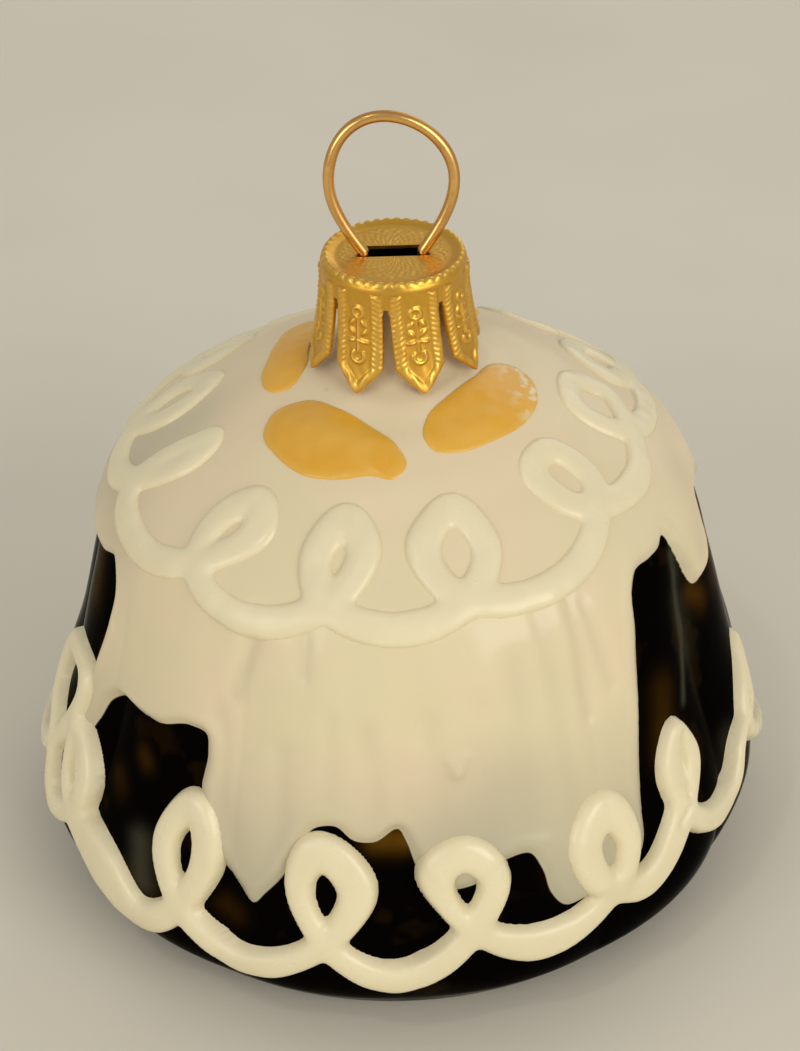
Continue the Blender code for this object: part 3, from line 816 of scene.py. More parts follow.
@dataclass(frozen=True)
class Icing:
    """The icing: how far it reaches, how thick it stands and how it folds."""

    thickness: float = 0.6
    edge_round: float = 0.75
    bead: tuple = (0.12, 1.1, 0.7)  # rise of the soft bead, its distance from the edge, its width
    across: float = 33.0          # radius that turns azimuths into lengths
    far: float = 8.0              # distances to the edge are worked out up to this one
    front_edge: tuple = (
        (-106.0, 37.5), (-96.0, 39.0), (-84.0, 40.0), (-73.9, 41.1), (-67.0, 42.0), (-64.4, 40.5),
        (-64.7, 37.0), (-66.8, 31.4), (-69.1, 26.5), (-68.6, 22.8), (-66.4, 22.4), (-63.1, 25.4),
        (-60.4, 28.7),
        (-57.2, 30.2), (-50.5, 30.8), (-44.8, 31.2), (-38.3, 32.6), (-35.2, 32.4), (-34.5, 30.6),
        (-35.0, 27.0), (-33.5, 23.5), (-29.0, 20.0), (-26.1, 18.6), (-23.4, 17.3), (-21.8, 18.6),
        (-19.1, 21.0), (-17.3, 23.6), (-14.6, 26.2), (-11.5, 26.6), (-8.4, 25.3), (-5.4, 25.2),
        (-1.5, 26.4), (-0.4, 25.2), (1.5, 22.3), (4.5, 20.4), (9.5, 20.5), (15.1, 22.6),
        (18.6, 22.7), (20.5, 20.8), (21.8, 18.0), (24.3, 16.1), (28.2, 15.9), (35.0, 16.2),
        (37.6, 17.4), (39.6, 23.3), (42.2, 31.2), (44.7, 38.9), (47.0, 43.4), (48.9, 44.4),
        (54.4, 44.5), (58.3, 44.6), (60.9, 45.1), (61.9, 43.7), (63.2, 41.4), (64.6, 39.4),
        (66.6, 37.9), (70.3, 37.5), (74.2, 38.0), (76.0, 39.5), (77.4, 41.6), (79.6, 43.0),
        (84.0, 43.2), (90.0, 42.0), (96.0, 40.0), (104.0, 37.5))
    back_drips: int = 7
    back_middle: float = 30.0
    back_swing: float = 9.0
    back_variety: float = 0.25
    mound: tuple = (55.2, 59.6)   # heights up the side over which the middle of the top rises
    mound_end: tuple = (62.5, 65.5)
    mound_rise: float = 0.35
    folds_end: tuple = (44.0, 50.0)  # heights up the side over which the folds fade
    fold_share: float = 0.75
    wave_rise: float = 0.06
    uneven_rise: float = 0.10
    folds: tuple = (
        Mark((-27.4, 43.5), (-30.0, 37.5), 0.42, 1.0), Mark((-17.8, 44.5), (-17.4, 41.0), 0.3, 0.9),
        Mark((31.4, 45.5), (31.8, 34.0), 0.38, 0.8), Mark((34.4, 44.5), (37.2, 36.0), 0.25, 0.7),
        Mark((25.0, 45.0), (29.0, 24.0), 0.3, 1.3), Mark((19.5, 41.0), (21.5, 25.0), 0.28, 1.4),
        Mark((7.0, 33.2), (8.0, 32.0), -0.35, 0.6), Mark((9.2, 33.4), (8.0, 32.0), -0.35, 0.6),
        Mark((4.0, 37.0), (4.5, 28.0), 0.25, 1.2), Mark((13.0, 38.0), (12.5, 26.0), 0.22, 1.3),
        Mark((-6.5, 36.0), (-5.5, 28.5), 0.28, 1.2), Mark((-12.5, 37.0), (-13.0, 29.0), 0.22, 1.1),
        Mark((-21.0, 33.0), (-20.0, 24.0), 0.28, 1.2),
        Mark((-32.5, 36.0), (-31.0, 25.0), 0.22, 1.2),
        Mark((-26.5, 27.0), (-23.6, 20.0), -0.22, 1.5), Mark((26.0, 22.0), (26.0, 18.0), -0.2, 1.3),
        Mark((1.0, 34.0), (2.0, 28.0), -0.2, 1.0), Mark((-2.5, 30.0), (-3.5, 27.0), -0.2, 1.0))

    def flat(self, azimuth: np.ndarray, height: np.ndarray) -> np.ndarray:
        """Azimuth and height up the side as lengths on the unrolled side."""
        return np.stack([np.radians(azimuth) * self.across, height], -1)

    @cached_property
    def edge(self) -> np.ndarray:
        """The lower edge once round and a little beyond both ends, on the unrolled side.

        In front it runs through the given points. Behind, its height is a cosine of the azimuth for
        each drip, with a swing that differs from drip to drip.
        """
        front = np.array(self.front_edge)
        first, last = front[0, 0] + 360, front[-1, 0]
        share = np.linspace(0, 1, 8 * self.back_drips + 1)[1:-1]
        turns = share * self.back_drips
        swing = self.back_swing * (1 - self.back_variety * (1 - np.sin(3 * turns)))
        behind = np.stack([last + (first - last) * share,
                           self.back_middle + swing * np.cos(2 * math.pi * turns)], 1)
        once = np.concatenate([front, behind])
        thrice = np.concatenate([once + (360 * k, 0) for k in (-1, 0, 1)])
        return through_points(self.flat(thrice[:, 0], thrice[:, 1]), 0.4)

    def reach(self, azimuth: np.ndarray, height: np.ndarray) -> np.ndarray:
        """Distance inside the icing's edge, negative on bare glass, on the unrolled side.

        The distance is that to the nearest stretch of the edge, and the sign comes from how often a
        line straight up the side crosses the edge.

        Args:
            azimuth: Grid of azimuths from -180 to 180, the same down each column.
            height: Grid of heights up the side.

        Returns:
            The distances.
        """
        start, end = self.edge[:-1], self.edge[1:]
        along = end - start
        squared = (along ** 2).sum(1)
        result = np.empty(azimuth.shape)
        block = 16
        for first in range(0, azimuth.shape[1], block):
            part = np.s_[:, first:first + block]
            place = self.flat(azimuth[part], height[part])
            low, high = place[..., 0].min() - self.far, place[..., 0].max() + self.far
            near = (start[:, 0] > low) & (start[:, 0] < high)
            a, d = start[near], along[near]
            to = place[..., None, :] - a
            share = np.clip((to * d).sum(-1) / squared[near], 0, 1)
            distance = np.linalg.norm(to - share[..., None] * d, axis=-1).min(-1)
            x = place[..., 0, None]
            spans = (a[:, 0] <= x) != (a[:, 0] + d[:, 0] <= x)
            slope = np.where(d[:, 0] == 0, 0, d[:, 1] / np.where(d[:, 0] == 0, 1, d[:, 0]))
            crossings = (spans & (a[:, 1] + (x - a[:, 0]) * slope > place[..., 1, None])).sum(-1)
            result[part] = np.where(crossings % 2 == 0, 1, -1) * np.minimum(distance, self.far)
        return result

    def drawn(self, marks: Sequence[Mark], azimuth: np.ndarray, height: np.ndarray) -> np.ndarray:
        """Sum of bell curves of the distances to the marks' lines.

        Args:
            marks: The marks.
            azimuth: Degrees from the front.
            height: Height up the side.

        Returns:
            The sum, each bell as high as its mark is deep.
        """
        place = self.flat(azimuth, height)
        total = np.zeros(np.shape(height))
        for mark in marks:
            start, end = self.flat(*map(np.array, mark.start)), self.flat(*map(np.array, mark.end))
            along = end - start
            to = place - start
            share = np.clip((to @ along) / (along @ along), 0, 1)
            distance = np.linalg.norm(to - share[..., None] * along, axis=-1)
            total += mark.depth * np.exp(-(distance / mark.width) ** 2)
        return total

    def relief(self, azimuth: np.ndarray, height: np.ndarray,
               reach: np.ndarray) -> tuple[np.ndarray, np.ndarray]:
        """How far the icing stands out of the glass, and how much painted shade its folds get.

        It climbs from its edge as one less a bell curve, with a soft bead behind the edge. Folds
        are drawn as marks, slow waves run down the side, and a smooth step raises the middle of the
        top.

        Args:
            azimuth: Degrees from the front.
            height: Height up the side.
            reach: Distance inside the edge.

        Returns:
            The relief in millimetres, and the folds' painted shade from 0 to 1.
        """
        inside = np.maximum(reach, 0.0)
        stand = self.thickness * (1 - np.exp(-(np.maximum(reach + 0.3, 0) / self.edge_round) ** 2))
        rise, distance, width = self.bead
        stand += rise * np.exp(-((inside - distance) / width) ** 2) * (inside > 0)
        folded = self.drawn(self.folds, azimuth, height)
        waves = slow_noise(azimuth, height, ((17, 0.05), (26, -0.04), (41, 0.07)), 5)
        side = (1 - smoothstep(*self.folds_end, height)) * smoothstep(0.0, 3.0, inside)
        folded = (self.fold_share * folded + self.wave_rise * waves) * side
        uneven = self.uneven_rise * slow_noise(azimuth, height,
                                               ((5, 0.3), (9, -0.45), (3, 0.6)), 11)
        edge_of_mound = height + 0.7 * slow_noise(azimuth, 0.0, ((2, 0.0), (5, 0.0)), 3)
        raised = self.mound_rise * smoothstep(*self.mound, edge_of_mound)
        raised *= 1 - smoothstep(*self.mound_end, height)
        # the second value is the painted shade of the folds, stronger where they are deeper
        return stand - folded + (uneven + raised) * (inside > 0), np.clip(folded / 0.35, 0, 1)


@dataclass(frozen=True)
class GlassCake:
    """The blown and painted body: its grid, its flutes, its neck and the skin all pieces lie on."""

    form: CakeForm
    icing: Icing
    flute_depth: float = 1.0
    iced_flute_depth: float = 0.45
    front_columns: int = 300
    back_columns: int = 190
    front_reach: float = 82.0      # azimuth to which the columns are closer together
    row_bands: tuple = ((0.0, 14.0, 18), (14.0, 46.0, 104), (46.0, 61.0, 34))  # from, to, rows
    top_rows: int = 9
    base_radii: tuple = (0.4, 8.0, 16.0, 22.0, 26.0, 28.5, 29.8)
    dish: tuple = (27.0, 0.35)     # radius and depth of the dish under the base
    shoulder: tuple = ((7.1, 53.55), (6.3, 54.0), (5.7, 54.7))
    neck_radius: float = 5.3
    neck_foot: tuple = (55.6, 57.0)   # levels over which it narrows to its radius
    neck_top: float = 63.05
    neck_round: float = 0.3
    bore_radius: float = 3.9
    bore_floor: float = 55.6
    bore_round: float = 1.5
    grey_until: tuple = (14.0, 38.0)  # heights over which the icing goes from greyer to creamy, going up
    grey_most: float = 1.1
    ambers: tuple = (              # places where the lacquer is thin and light shines through
        Mark((-5.0, 25.3), (-0.6, 25.2), 1.0, 1.2), Mark((88.0, 36.5), (79.0, 40.0), 1.2, 2.4),
        Mark((81.0, 34.5), (76.0, 35.0), 0.16, 1.6), Mark((66.0, 37.2), (69.0, 35.5), 0.4, 1.4),
        Mark((48.8, 32.0), (47.2, 26.5), 0.3, 1.8), Mark((-48.2, 26.6), (-47.6, 26.3), 0.24, 1.2),
        Mark((-53.6, 22.2), (-53.0, 21.8), 0.2, 1.4), Mark((-76.0, 40.0), (-74.5, 36.5), 0.3, 2.0),
        Mark((-28.0, 15.6), (-27.0, 15.2), 0.16, 1.4), Mark((24.0, 20.2), (26.0, 18.5), 0.12, 1.5),
        Mark((140.0, 30.0), (150.0, 27.0), 0.8, 2.2),
        Mark((-150.0, 24.0), (-145.0, 21.0), 0.5, 2.0))
    sheens: tuple = (              # places given a painted reflection: dull greyish streaks and patches on the lacquer
        Mark((61.8, 42.6), (59.5, 35.6), 1.0, 0.8), Mark((59.5, 35.6), (54.6, 28.9), 1.0, 0.5),
        Mark((61.0, 39.0), (60.0, 33.0), 0.4, 2.0), Mark((-82.0, 31.0), (-77.0, 34.5), 0.45, 2.2),
        Mark((-45.0, 18.5), (-43.5, 14.5), 1.0, 1.5), Mark((66.0, 20.0), (64.0, 16.5), 0.5, 1.6))
    painted_shades: tuple = (             # places where the icing is greyed as painted shade, most on the left shoulder
        Mark((-96.0, 42.0), (-84.0, 54.0), 0.55, 6.5), Mark((-66.0, 43.0), (-80.0, 47.0), 0.4, 4.0),
        Mark((8.0, 24.0), (16.0, 30.0), 0.35, 5.0), Mark((72.0, 41.0), (80.0, 46.0), 0.3, 3.0))

    def skin(self, azimuth: np.ndarray, height: np.ndarray,
             softened: float = 0.0) -> tuple[np.ndarray, np.ndarray, np.ndarray]:
        """Distance of the painted surface from the plain outline: icing less flutes.

        Args:
            azimuth: Grid of azimuths.
            height: Grid of heights up the side.
            softened: 1 gives the smoother ground that a thick strand lies on.

        Returns:
            The distance, the reach inside the icing's edge, and the folds' painted shade.
        """
        reach = self.icing.reach(azimuth, height)
        stand, fold_shade = self.icing.relief(azimuth, height, reach)
        depth = self.flute_depth + (self.iced_flute_depth - self.flute_depth) \
            * smoothstep(-0.3, 1.5, reach)
        carved = stand - depth * self.form.groove(azimuth, height)
        if softened:
            ground = 0.5 * self.icing.thickness * smoothstep(-1.5, 1.5, reach) \
                - 0.3 * self.form.groove(azimuth, height) \
                + 0.6 * np.maximum(stand - self.icing.thickness, 0.0)
            carved = carved + softened * (ground - carved)
        return carved, reach, fold_shade

    def azimuths(self) -> np.ndarray:
        """Azimuths of the columns, closer together in front."""
        front = np.linspace(-self.front_reach, self.front_reach, self.front_columns + 1)
        side = np.linspace(self.front_reach, 360 - self.front_reach, self.back_columns + 1)[1:-1]
        return np.sort(np.concatenate([front, (side + 180) % 360 - 180]))

    def heights(self) -> np.ndarray:
        """Heights up the side of the rows, closest where the icing ends."""
        bands = [np.linspace(*band, endpoint=False) for band in self.row_bands]
        top = np.linspace(self.row_bands[-1][1], self.form.side_length, self.top_rows)
        return np.concatenate([*bands, top])

    def turned(self, profile: Sequence[tuple[float, float]], azimuth: np.ndarray,
               leaning: bool) -> np.ndarray:
        """Rings of points from (radius, level) pairs, round the base's axis or the neck's.

        Args:
            profile: Radius and level of each ring.
            azimuth: Azimuths of the columns.
            leaning: True for the neck.

        Returns:
            The points, one row of the grid for each ring.
        """
        radius, level = np.array(profile).T[:, :, None]
        return turned_points(radius, np.radians(azimuth), level, self.form.lean if leaning else 0.0)

    def build(self, finish: bpy.types.Material) -> bpy.types.Object:
        """Makes the body: base, side and top on one grid, then the neck and its bore.

        Args:
            finish: The painted finish.

        Returns:
            The piece.
        """
        columns = self.azimuths()
        azimuth, height = np.meshgrid(columns, self.heights())
        carved, reach, fold_shade = self.skin(azimuth, height)
        side = self.form.place(azimuth, height, carved)
        base_radii = np.array(self.base_radii)
        dished = self.dish[1] * (1 - np.minimum(base_radii / self.dish[0], 1.0) ** 2)
        base = self.turned(list(zip(base_radii, dished)), columns, leaning=False)
        radius, top, edge = self.neck_radius, self.neck_top, self.neck_round
        bore, floor, turn = self.bore_radius, self.bore_floor, self.bore_round
        outside = (*self.shoulder, (radius + 0.1, self.neck_foot[0]), (radius, self.neck_foot[1]),
                   (radius, top - edge), (radius - edge, top))
        inside = ((bore + edge, top), (bore, top - edge), (bore, floor + turn),
                  (bore - turn, floor), (0.3, floor))
        neck = self.turned([*outside, *inside], columns, leaning=True)
        points = np.concatenate([base, side, neck])
        rows, count = points.shape[:2]
        flat = np.arange(count)
        faces = grid_quads(rows, count).tolist()
        faces.append(flat[::-1].tolist())
        faces.append((flat + (rows - 1) * count).tolist())
        inked = np.full((len(neck), count), 3.0)
        inked[len(outside):] = -3.0
        below, above = np.zeros(base.shape[:2]), np.zeros(neck.shape[:2])
        amber, sheen, thin = (self.icing.drawn(marks, azimuth, height)
                              for marks in (self.ambers, self.sheens, self.painted_shades))
        # thin holds the painted shade of the marks; the first term makes the icing greyer towards
        # the bottom
        grey_and_shade = self.grey_most * (1 - smoothstep(*self.grey_until, height)) + thin
        layers = {"icing_reach": np.concatenate([below - 3.0, reach, inked]),
                  "fold_shade": np.concatenate([below, fold_shade, above]),
                  "grey_and_shade": np.concatenate([below, np.clip(grey_and_shade, 0, 1), above]),
                  "amber": np.concatenate([below, amber, above]),
                  "sheen": np.concatenate([below, sheen, above])}
        piece = make_piece("glass_body", points.reshape(-1, 3), faces, finish,
                           {key: layer.ravel() for key, layer in layers.items()})
        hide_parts("glass_cake")
        return piece


# --- Piping -------------------------------------------------------------------------------------

@dataclass(frozen=True)
class Loop:
    """One turn of a piped line and the swag after it, by the places that its middle runs through.

    The line climbs the loop's right side, turns over its top, comes down its left side and crosses
    its own start. Each place is an azimuth, a height up the side and the strand's width there.
    """

    rising: tuple
    right: tuple
    top: tuple
    left: tuple
    falling: tuple
    swag: tuple
    after: tuple = ()              # more places, between the swag's bottom and the next loop

    @classmethod
    def plain(cls, foot: float, tip: float, half_width: float, swag: float, swag_height: float,
              widths: tuple) -> "Loop":
        """Makes a regular loop.

        Args:
            foot: Azimuth where it crosses itself.
            tip: Height up the side of its top.
            half_width: Half its width, in degrees.
            swag: Azimuth of the next swag's bottom.
            swag_height: Height up the side of the swag's bottom.
            widths: Width of the strand in the loop and in the swag.

        Returns:
            The loop.
        """
        tall = tip - swag_height
        neck, waist = swag_height + 0.40 * tall, swag_height + 0.70 * tall
        thick, thin = widths
        return cls((foot + 0.3 * half_width, neck, thin), (foot + half_width, waist, thick),
                   (foot, tip, thick), (foot - half_width, waist, thick),
                   (foot - 0.3 * half_width, neck, thin), (swag, swag_height, thin))

    @property
    def places(self) -> tuple:
        """The places, in the order in which the line passes them."""
        return (self.rising, self.right, self.top, self.left, self.falling, self.swag, *self.after)


@dataclass(frozen=True)
class PipedRing:
    """A ring of loops drawn round the cake with one thick line of enamel.

    Its relief is a convolution surface: each bit of the line adds a bell curve of the distance to
    it, so crossings and tight turns melt together.
    """

    name: str
    loops: tuple
    back_count: int
    back_tip: float
    back_half_width: float  # in degrees
    back_swag_height: float
    back_widths: tuple      # of the strand, in a loop and in a swag
    rise: float
    band: tuple             # lowest and highest height up the side of the grid
    cell: float             # size of a grid cell
    seed: int
    creases: tuple = ()     # marks pressed into the strands
    blur: float = 0.58      # a bell curve's width as a share of half the strand's
    steepness: float = 3.0
    depth: float = 1.1      # how far the hidden underside lies below the skin
    spacing: float = 0.3    # between the points of the line
    nearby: float = 26.0    # degrees over which a bit of the line is felt
    unevenness: float = 0.05
    sunk: tuple = (-0.5, -0.25)  # lowest the sheet dips, and where it is cut off

    def all_loops(self) -> list[Loop]:
        """The given loops and evenly spaced ones behind."""
        first, last = self.loops[0].rising[0] + 360, self.loops[-1].rising[0]
        pitch = (first - last) / (self.back_count + 1)
        behind = [Loop.plain(last + pitch * (i + 1), self.back_tip, self.back_half_width,
                             last + pitch * (i + 1.5), self.back_swag_height, self.back_widths)
                  for i in range(self.back_count)]
        return [*self.loops, *behind]

    def course(self, form: CakeForm) -> np.ndarray:
        """The line's middle: azimuth, height up the side and width, at even spacing.

        It is a smooth curve through the loops' places, by the true distance between them.

        Args:
            form: The cake's shape.

        Returns:
            One row for each point of the line, once round.
        """
        once = np.array([place for loop in self.all_loops() for place in loop.places])
        around = np.concatenate([once - (360, 0, 0), once, once + (360, 0, 0)])
        middle = form.place(around[:, 0], around[:, 1], 0.0)
        stations = lengths_along(middle)
        start, end = stations[len(once)], stations[2 * len(once)]
        line = hermite(stations, around, np.arange(start, end, self.spacing))
        line[:, 2] *= 1 + self.unevenness * slow_noise(np.linspace(0, 360, len(line)), 0.0,
                                                       ((29, 0.0), (53, 0.0), (83, 0.0)), self.seed)
        return line

    def field(self, form: CakeForm, azimuth: np.ndarray,
              height: np.ndarray) -> tuple[np.ndarray, np.ndarray]:
        """Sum of the line's bell curves, and the line's width nearby.

        Args:
            form: The cake's shape.
            azimuth: Grid of azimuths.
            height: Grid of heights up the side.

        Returns:
            The sum, about 1 along the middle of a single strand, and the mean width.
        """
        line = self.course(form)
        middle = form.place(line[:, 0], line[:, 1], 0.0)
        step = np.linalg.norm(np.roll(middle, -1, axis=0) - middle, axis=1)
        spread = self.blur * line[:, 2] / 2
        weight = step / (spread * math.sqrt(math.pi))
        ground = form.place(azimuth, height, 0.0)
        total, width = np.zeros(azimuth.shape), np.zeros(azimuth.shape)
        block = 12
        for first in range(0, azimuth.shape[1], block):
            part = np.s_[:, first:first + block]
            centre = azimuth[part].mean()
            near = np.abs((line[:, 0] - centre + 180) % 360 - 180) < self.nearby
            squared = ((ground[part][..., None, :] - middle[near]) ** 2).sum(-1)
            bells = weight[near] * np.exp(-squared / spread[near] ** 2)
            total[part] = bells.sum(-1)
            width[part] = (bells * line[near, 2]).sum(-1) / np.maximum(total[part], 1e-9)
        return total, width

    def build(self, cake: GlassCake, finish: bpy.types.Material) -> bpy.types.Object:
        """Makes the ring as a closed sheet that dips under the skin all round its strands.

        With F the field, the height is a rising exponential of 1 + blur^2 ln F, which is 0 at half
        a width from the middle of a single strand and 1 in its middle.

        Args:
            cake: The body that it lies on.
            finish: The enamel.

        Returns:
            The piece.
        """
        form = cake.form
        radius, _ = form.radius_and_level(np.array([sum(self.band) / 2]))
        columns = int(2 * math.pi * radius[0] / self.cell)
        rows = int((self.band[1] - self.band[0]) / self.cell)
        azimuth, height = np.meshgrid(-180 + 360 * np.arange(columns) / columns,
                                      np.linspace(*self.band, rows))
        total, width = self.field(form, azimuth, height)
        inward = 1 + self.blur**2 * np.log(np.maximum(total, 1e-9))
        slope = self.steepness * np.maximum(width, 1.0) / 4
        full = self.rise / (1 - np.exp(-slope))
        climb = full * (1 - np.exp(-slope * np.maximum(inward, 0))) \
            + full * slope * np.minimum(inward, 0)
        climb = np.clip(climb, self.sunk[0], None)
        bare, _, _ = cake.skin(azimuth, height)
        ground, _, _ = cake.skin(azimuth, height, softened=1.0)
        lumps = self.unevenness * slow_noise(azimuth, height, ((37, 0.7), (61, -0.9), (23, 0.4)),
                                             self.seed)
        creased = climb - cake.icing.drawn(self.creases, azimuth, height)
        climb = np.where(climb > 0.3, creased, climb)
        share = smoothstep(0.0, 0.9, climb)
        stand = bare + (ground - bare) * share + climb + lumps * share
        outer = form.place(azimuth, height, stand).reshape(-1, 3)
        inner = form.place(azimuth, height, bare - self.depth).reshape(-1, 3)
        quads = grid_quads(rows, columns)
        kept = climb.ravel()[quads].max(1) > self.sunk[1]
        points, faces, used = closed_sheet(outer, inner, quads[kept])
        crest = np.clip(climb / self.rise, 0, 1).ravel()[used]
        piece = make_piece(self.name, points, faces, finish,
                           {"crest": np.concatenate([crest, np.zeros(len(used))])})
        return piece


# --- Almonds ------------------------------------------------------------------------------------

@dataclass(frozen=True)
class Almond:
    """One painted almond half, moulded nearly flush in the icing of the top."""

    name: str
    outline: tuple         # places round it as seen from above, from the axis: right, and back
    painted_highlight: float = 0.0     # 1 for cream streaks of painted highlight over its outer right part
    crown: float = 0.6
    dip: float = 0.45      # how far its rim sinks
    rim_share: tuple = (0.965, 1.03)  # share of the way to the rim over which it sinks
    depth: float = 0.8     # of its hidden underside
    rings: int = 30
    spokes: int = 150

    @cached_property
    def rim(self) -> np.ndarray:
        """Evenly spaced places on the smooth closed curve through the outline, seen from above."""
        points = np.array(self.outline)
        thrice = np.concatenate([points] * 3)
        stations = lengths_along(thrice)
        start, end = stations[len(points)], stations[2 * len(points)]
        return hermite(stations, thrice, np.linspace(start, end, self.spokes, endpoint=False))

    def build(self, cake: GlassCake, finish: bpy.types.Material) -> bpy.types.Object:
        """Makes the almond on a grid of rings and spokes that follows the skin under it.

        Its height is its crown times a rounded dome of the share of the way to its rim, less a
        little at the rim, where it dips into the icing.

        Args:
            cake: The body that it lies on.
            finish: The ochre enamel.

        Returns:
            The piece.
        """
        middle = self.rim.mean(axis=0)
        share = np.linspace(0.02, self.rim_share[1], self.rings)[:, None, None]
        plan = middle + share * (self.rim - middle)
        heights = np.linspace(cake.form.side_length, 40.0, 600)
        radii, _ = cake.form.radius_and_level(heights)
        azimuth = np.degrees(np.arctan2(plan[..., 0], -plan[..., 1]))
        height = np.interp(np.hypot(plan[..., 0], plan[..., 1]), radii, heights)
        stand, _ = cake.icing.relief(azimuth, height, np.full(height.shape, cake.icing.far))
        share = np.broadcast_to(share[..., 0], height.shape)
        dome = self.crown * np.clip(1 - share**2, 0, 1) ** 0.75 + 0.04 \
            - self.dip * smoothstep(*self.rim_share, share)
        dome += 0.05 * slow_noise(azimuth * 3, height, ((5, 1.1), (9, -1.7), (13, 0.9)), 8) \
            * (1 - share**2)
        outer = cake.form.place(azimuth, height, stand + dome).reshape(-1, 3)
        under = cake.form.place(azimuth, height, stand - self.depth).reshape(-1, 3)
        quads = grid_quads(self.rings, self.spokes)
        first, count = np.arange(self.spokes), self.rings * self.spokes
        walls = quads[-self.spokes:, [3, 2]]
        walls = np.concatenate([walls[:, ::-1], walls + count], axis=1)
        faces = [*quads[:, ::-1].tolist(), *(quads + count).tolist(), *walls[:, ::-1].tolist(),
                 first.tolist(), (first[::-1] + count).tolist()]
        across = plan - middle
        # painted highlight over the outer right part
        highlight_share = self.painted_highlight * smoothstep(1.5, 5.5, across[..., 0] + 0.3 * across[..., 1])
        piece = make_piece(self.name, np.concatenate([outer, under]), faces, finish,
                           {"rim": np.tile(share.ravel(), 2), "highlight_share": np.tile(highlight_share.ravel(), 2)})
        return piece


# --- Cap and wire -------------------------------------------------------------------------------

@dataclass(frozen=True)
class CrownCap:
    """The pressed cap: slotted disc, beaded rim, and eight embossed pointed prongs."""

    form: CakeForm
    top: float = 64.2
    rim_radius: float = 6.76
    wall_radius: float = 6.72
    figure_top: float = 63.25      # the prongs' relief starts here, above the slits
    slit_top: float = 61.7
    prongs: int = 8
    first_prong: float = 18.5
    twist: float = 3.0             # degrees by which a tip stands to the right of its root
    prong_columns: int = 43
    prong_rows: int = 86
    tip: tuple = (8.25, 53.75)
    root_half: float = 2.36
    wide_half: float = 2.42
    point_share: float = 0.25
    slot: tuple = (6.55, 2.1)
    slot_back: float = 0.5         # how far the slot sits behind the middle
    metal: float = 0.32
    beads: int = 42
    bead_rise: float = 0.2
    bead_row: tuple = (6.28, 0.24)  # radius of the row of beads, and its width
    emboss: float = 0.24
    scale_pitch: float = 0.62      # of the disc's rings of scales
    cord: tuple = (0.46, 0.4, 0.5)  # of the cord by an edge: distance in, half width, pitch
    stem: tuple = (2.5, 5.7)       # the figure's parts, by lengths down from its top
    upper_ring: tuple = (1.95, 0.48)
    lower_ring: tuple = (6.15, 0.58)
    bar: tuple = (4.65, 0.95)
    leaves: tuple = ((3.0, 48.0), (3.85, -40.0))

    @property
    def prong_length(self) -> float:
        """Length of a prong with its figure, down to its tip."""
        return math.hypot(self.tip[0] - self.wall_radius, self.figure_top - self.tip[1])

    @property
    def half_pitch(self) -> float:
        """Half the angle of one prong, less a hair so that neighbours stay apart."""
        return math.pi / self.prongs - 0.003

    @cached_property
    def centres(self) -> np.ndarray:
        """Angle of each prong's tip."""
        return np.radians(self.first_prong + 360 / self.prongs * np.arange(self.prongs))

    @cached_property
    def across(self) -> np.ndarray:
        """Place of each of a prong's columns as a share of its half width."""
        return np.linspace(-1, 1, self.prong_columns)

    def rim_profile(self) -> tuple[np.ndarray, np.ndarray]:
        """Radius and level from the edge of the slotted disc over the rim to the prongs' figures.

        Returns:
            The points (radius, level) and the outward normal at each.
        """
        rim, wall, top = self.rim_radius, self.wall_radius, self.top
        shape = np.array([(4.9, top - 0.17), (5.45, top - 0.15), (5.8, top - 0.03),
                          (6.1, top + 0.06), (6.34, top - 0.03), (6.53, top - 0.16),
                          (rim - 0.08, top - 0.42), (rim - 0.02, top - 0.66),
                          (wall, self.figure_top)])
        fine = np.concatenate([through_points(shape, 0.1), shape[-1:]])
        heading = np.gradient(fine, axis=0)
        heading /= np.linalg.norm(heading, axis=1)[:, None]
        return fine, np.stack([-heading[:, 1], heading[:, 0]], 1)

    def rope(self, distance: np.ndarray, along: np.ndarray) -> np.ndarray:
        """Twisted cord beside an edge: a rounded strip with a rounded end, cut by slanting lines.

        Args:
            distance: Distance in from the edge.
            along: Length along the edge.

        Returns:
            Height from 0 to 1.
        """
        middle, half, pitch = self.cord
        off = np.hypot(distance - middle, np.maximum(0.5 - along, 0))
        strip = np.clip(1 - (off / half) ** 2, 0, 1) ** 0.5
        return strip * (0.82 + 0.18 * np.sin(2 * math.pi * (along + 1.5 * distance) / pitch))

    def motif(self, x: np.ndarray, y: np.ndarray) -> np.ndarray:
        """The embossed figure: ring, leaf star, cross bar and open ring on one stem.

        Each stroke is a rounded bump of the distance to its line, and strokes join by the larger.

        Args:
            x: Distance across from the prong's middle.
            y: Distance down from the figure's top.

        Returns:
            Height from 0 to 1.
        """
        def stroke(distance: np.ndarray, half: float) -> np.ndarray:
            """Rounded bump of a distance: 1 - (d / half)^2 to the power 1.5."""
            return np.clip(1 - (distance / half) ** 2, 0, 1) ** 1.5

        def leaf(middle: tuple, angle: float, long: float, wide: float) -> np.ndarray:
            """Rounded bump of an ellipse turned by an angle."""
            turn = math.radians(angle)
            u = (x - middle[0]) * math.cos(turn) + (y - middle[1]) * math.sin(turn)
            v = (y - middle[1]) * math.cos(turn) - (x - middle[0]) * math.sin(turn)
            return stroke(np.hypot(u / long, v / wide), 1.0)

        def ring(level: float, radius: float) -> np.ndarray:
            """Rounded bump of a circle."""
            return stroke(np.abs(np.hypot(x, y - level) - radius), 0.25)

        aside = np.abs(x)
        level, half = self.bar
        beyond = np.maximum(self.stem[0] - y, y - self.stem[1])
        stem = stroke(np.hypot(x, np.maximum(beyond, 0)), 0.2)
        bar = stroke(np.hypot(np.maximum(aside - half, 0), y - level - 0.12 * aside), 0.2)
        lower = ring(*self.lower_ring) * (y > self.lower_ring[0] - 0.25 - 0.3 * aside)
        leaves = [leaf((side * 0.6, place), side * slope, 0.62, 0.3)
                  for side in (-1, 1) for place, slope in self.leaves]
        return np.maximum.reduce([stem, ring(*self.upper_ring), lower, bar, *leaves])

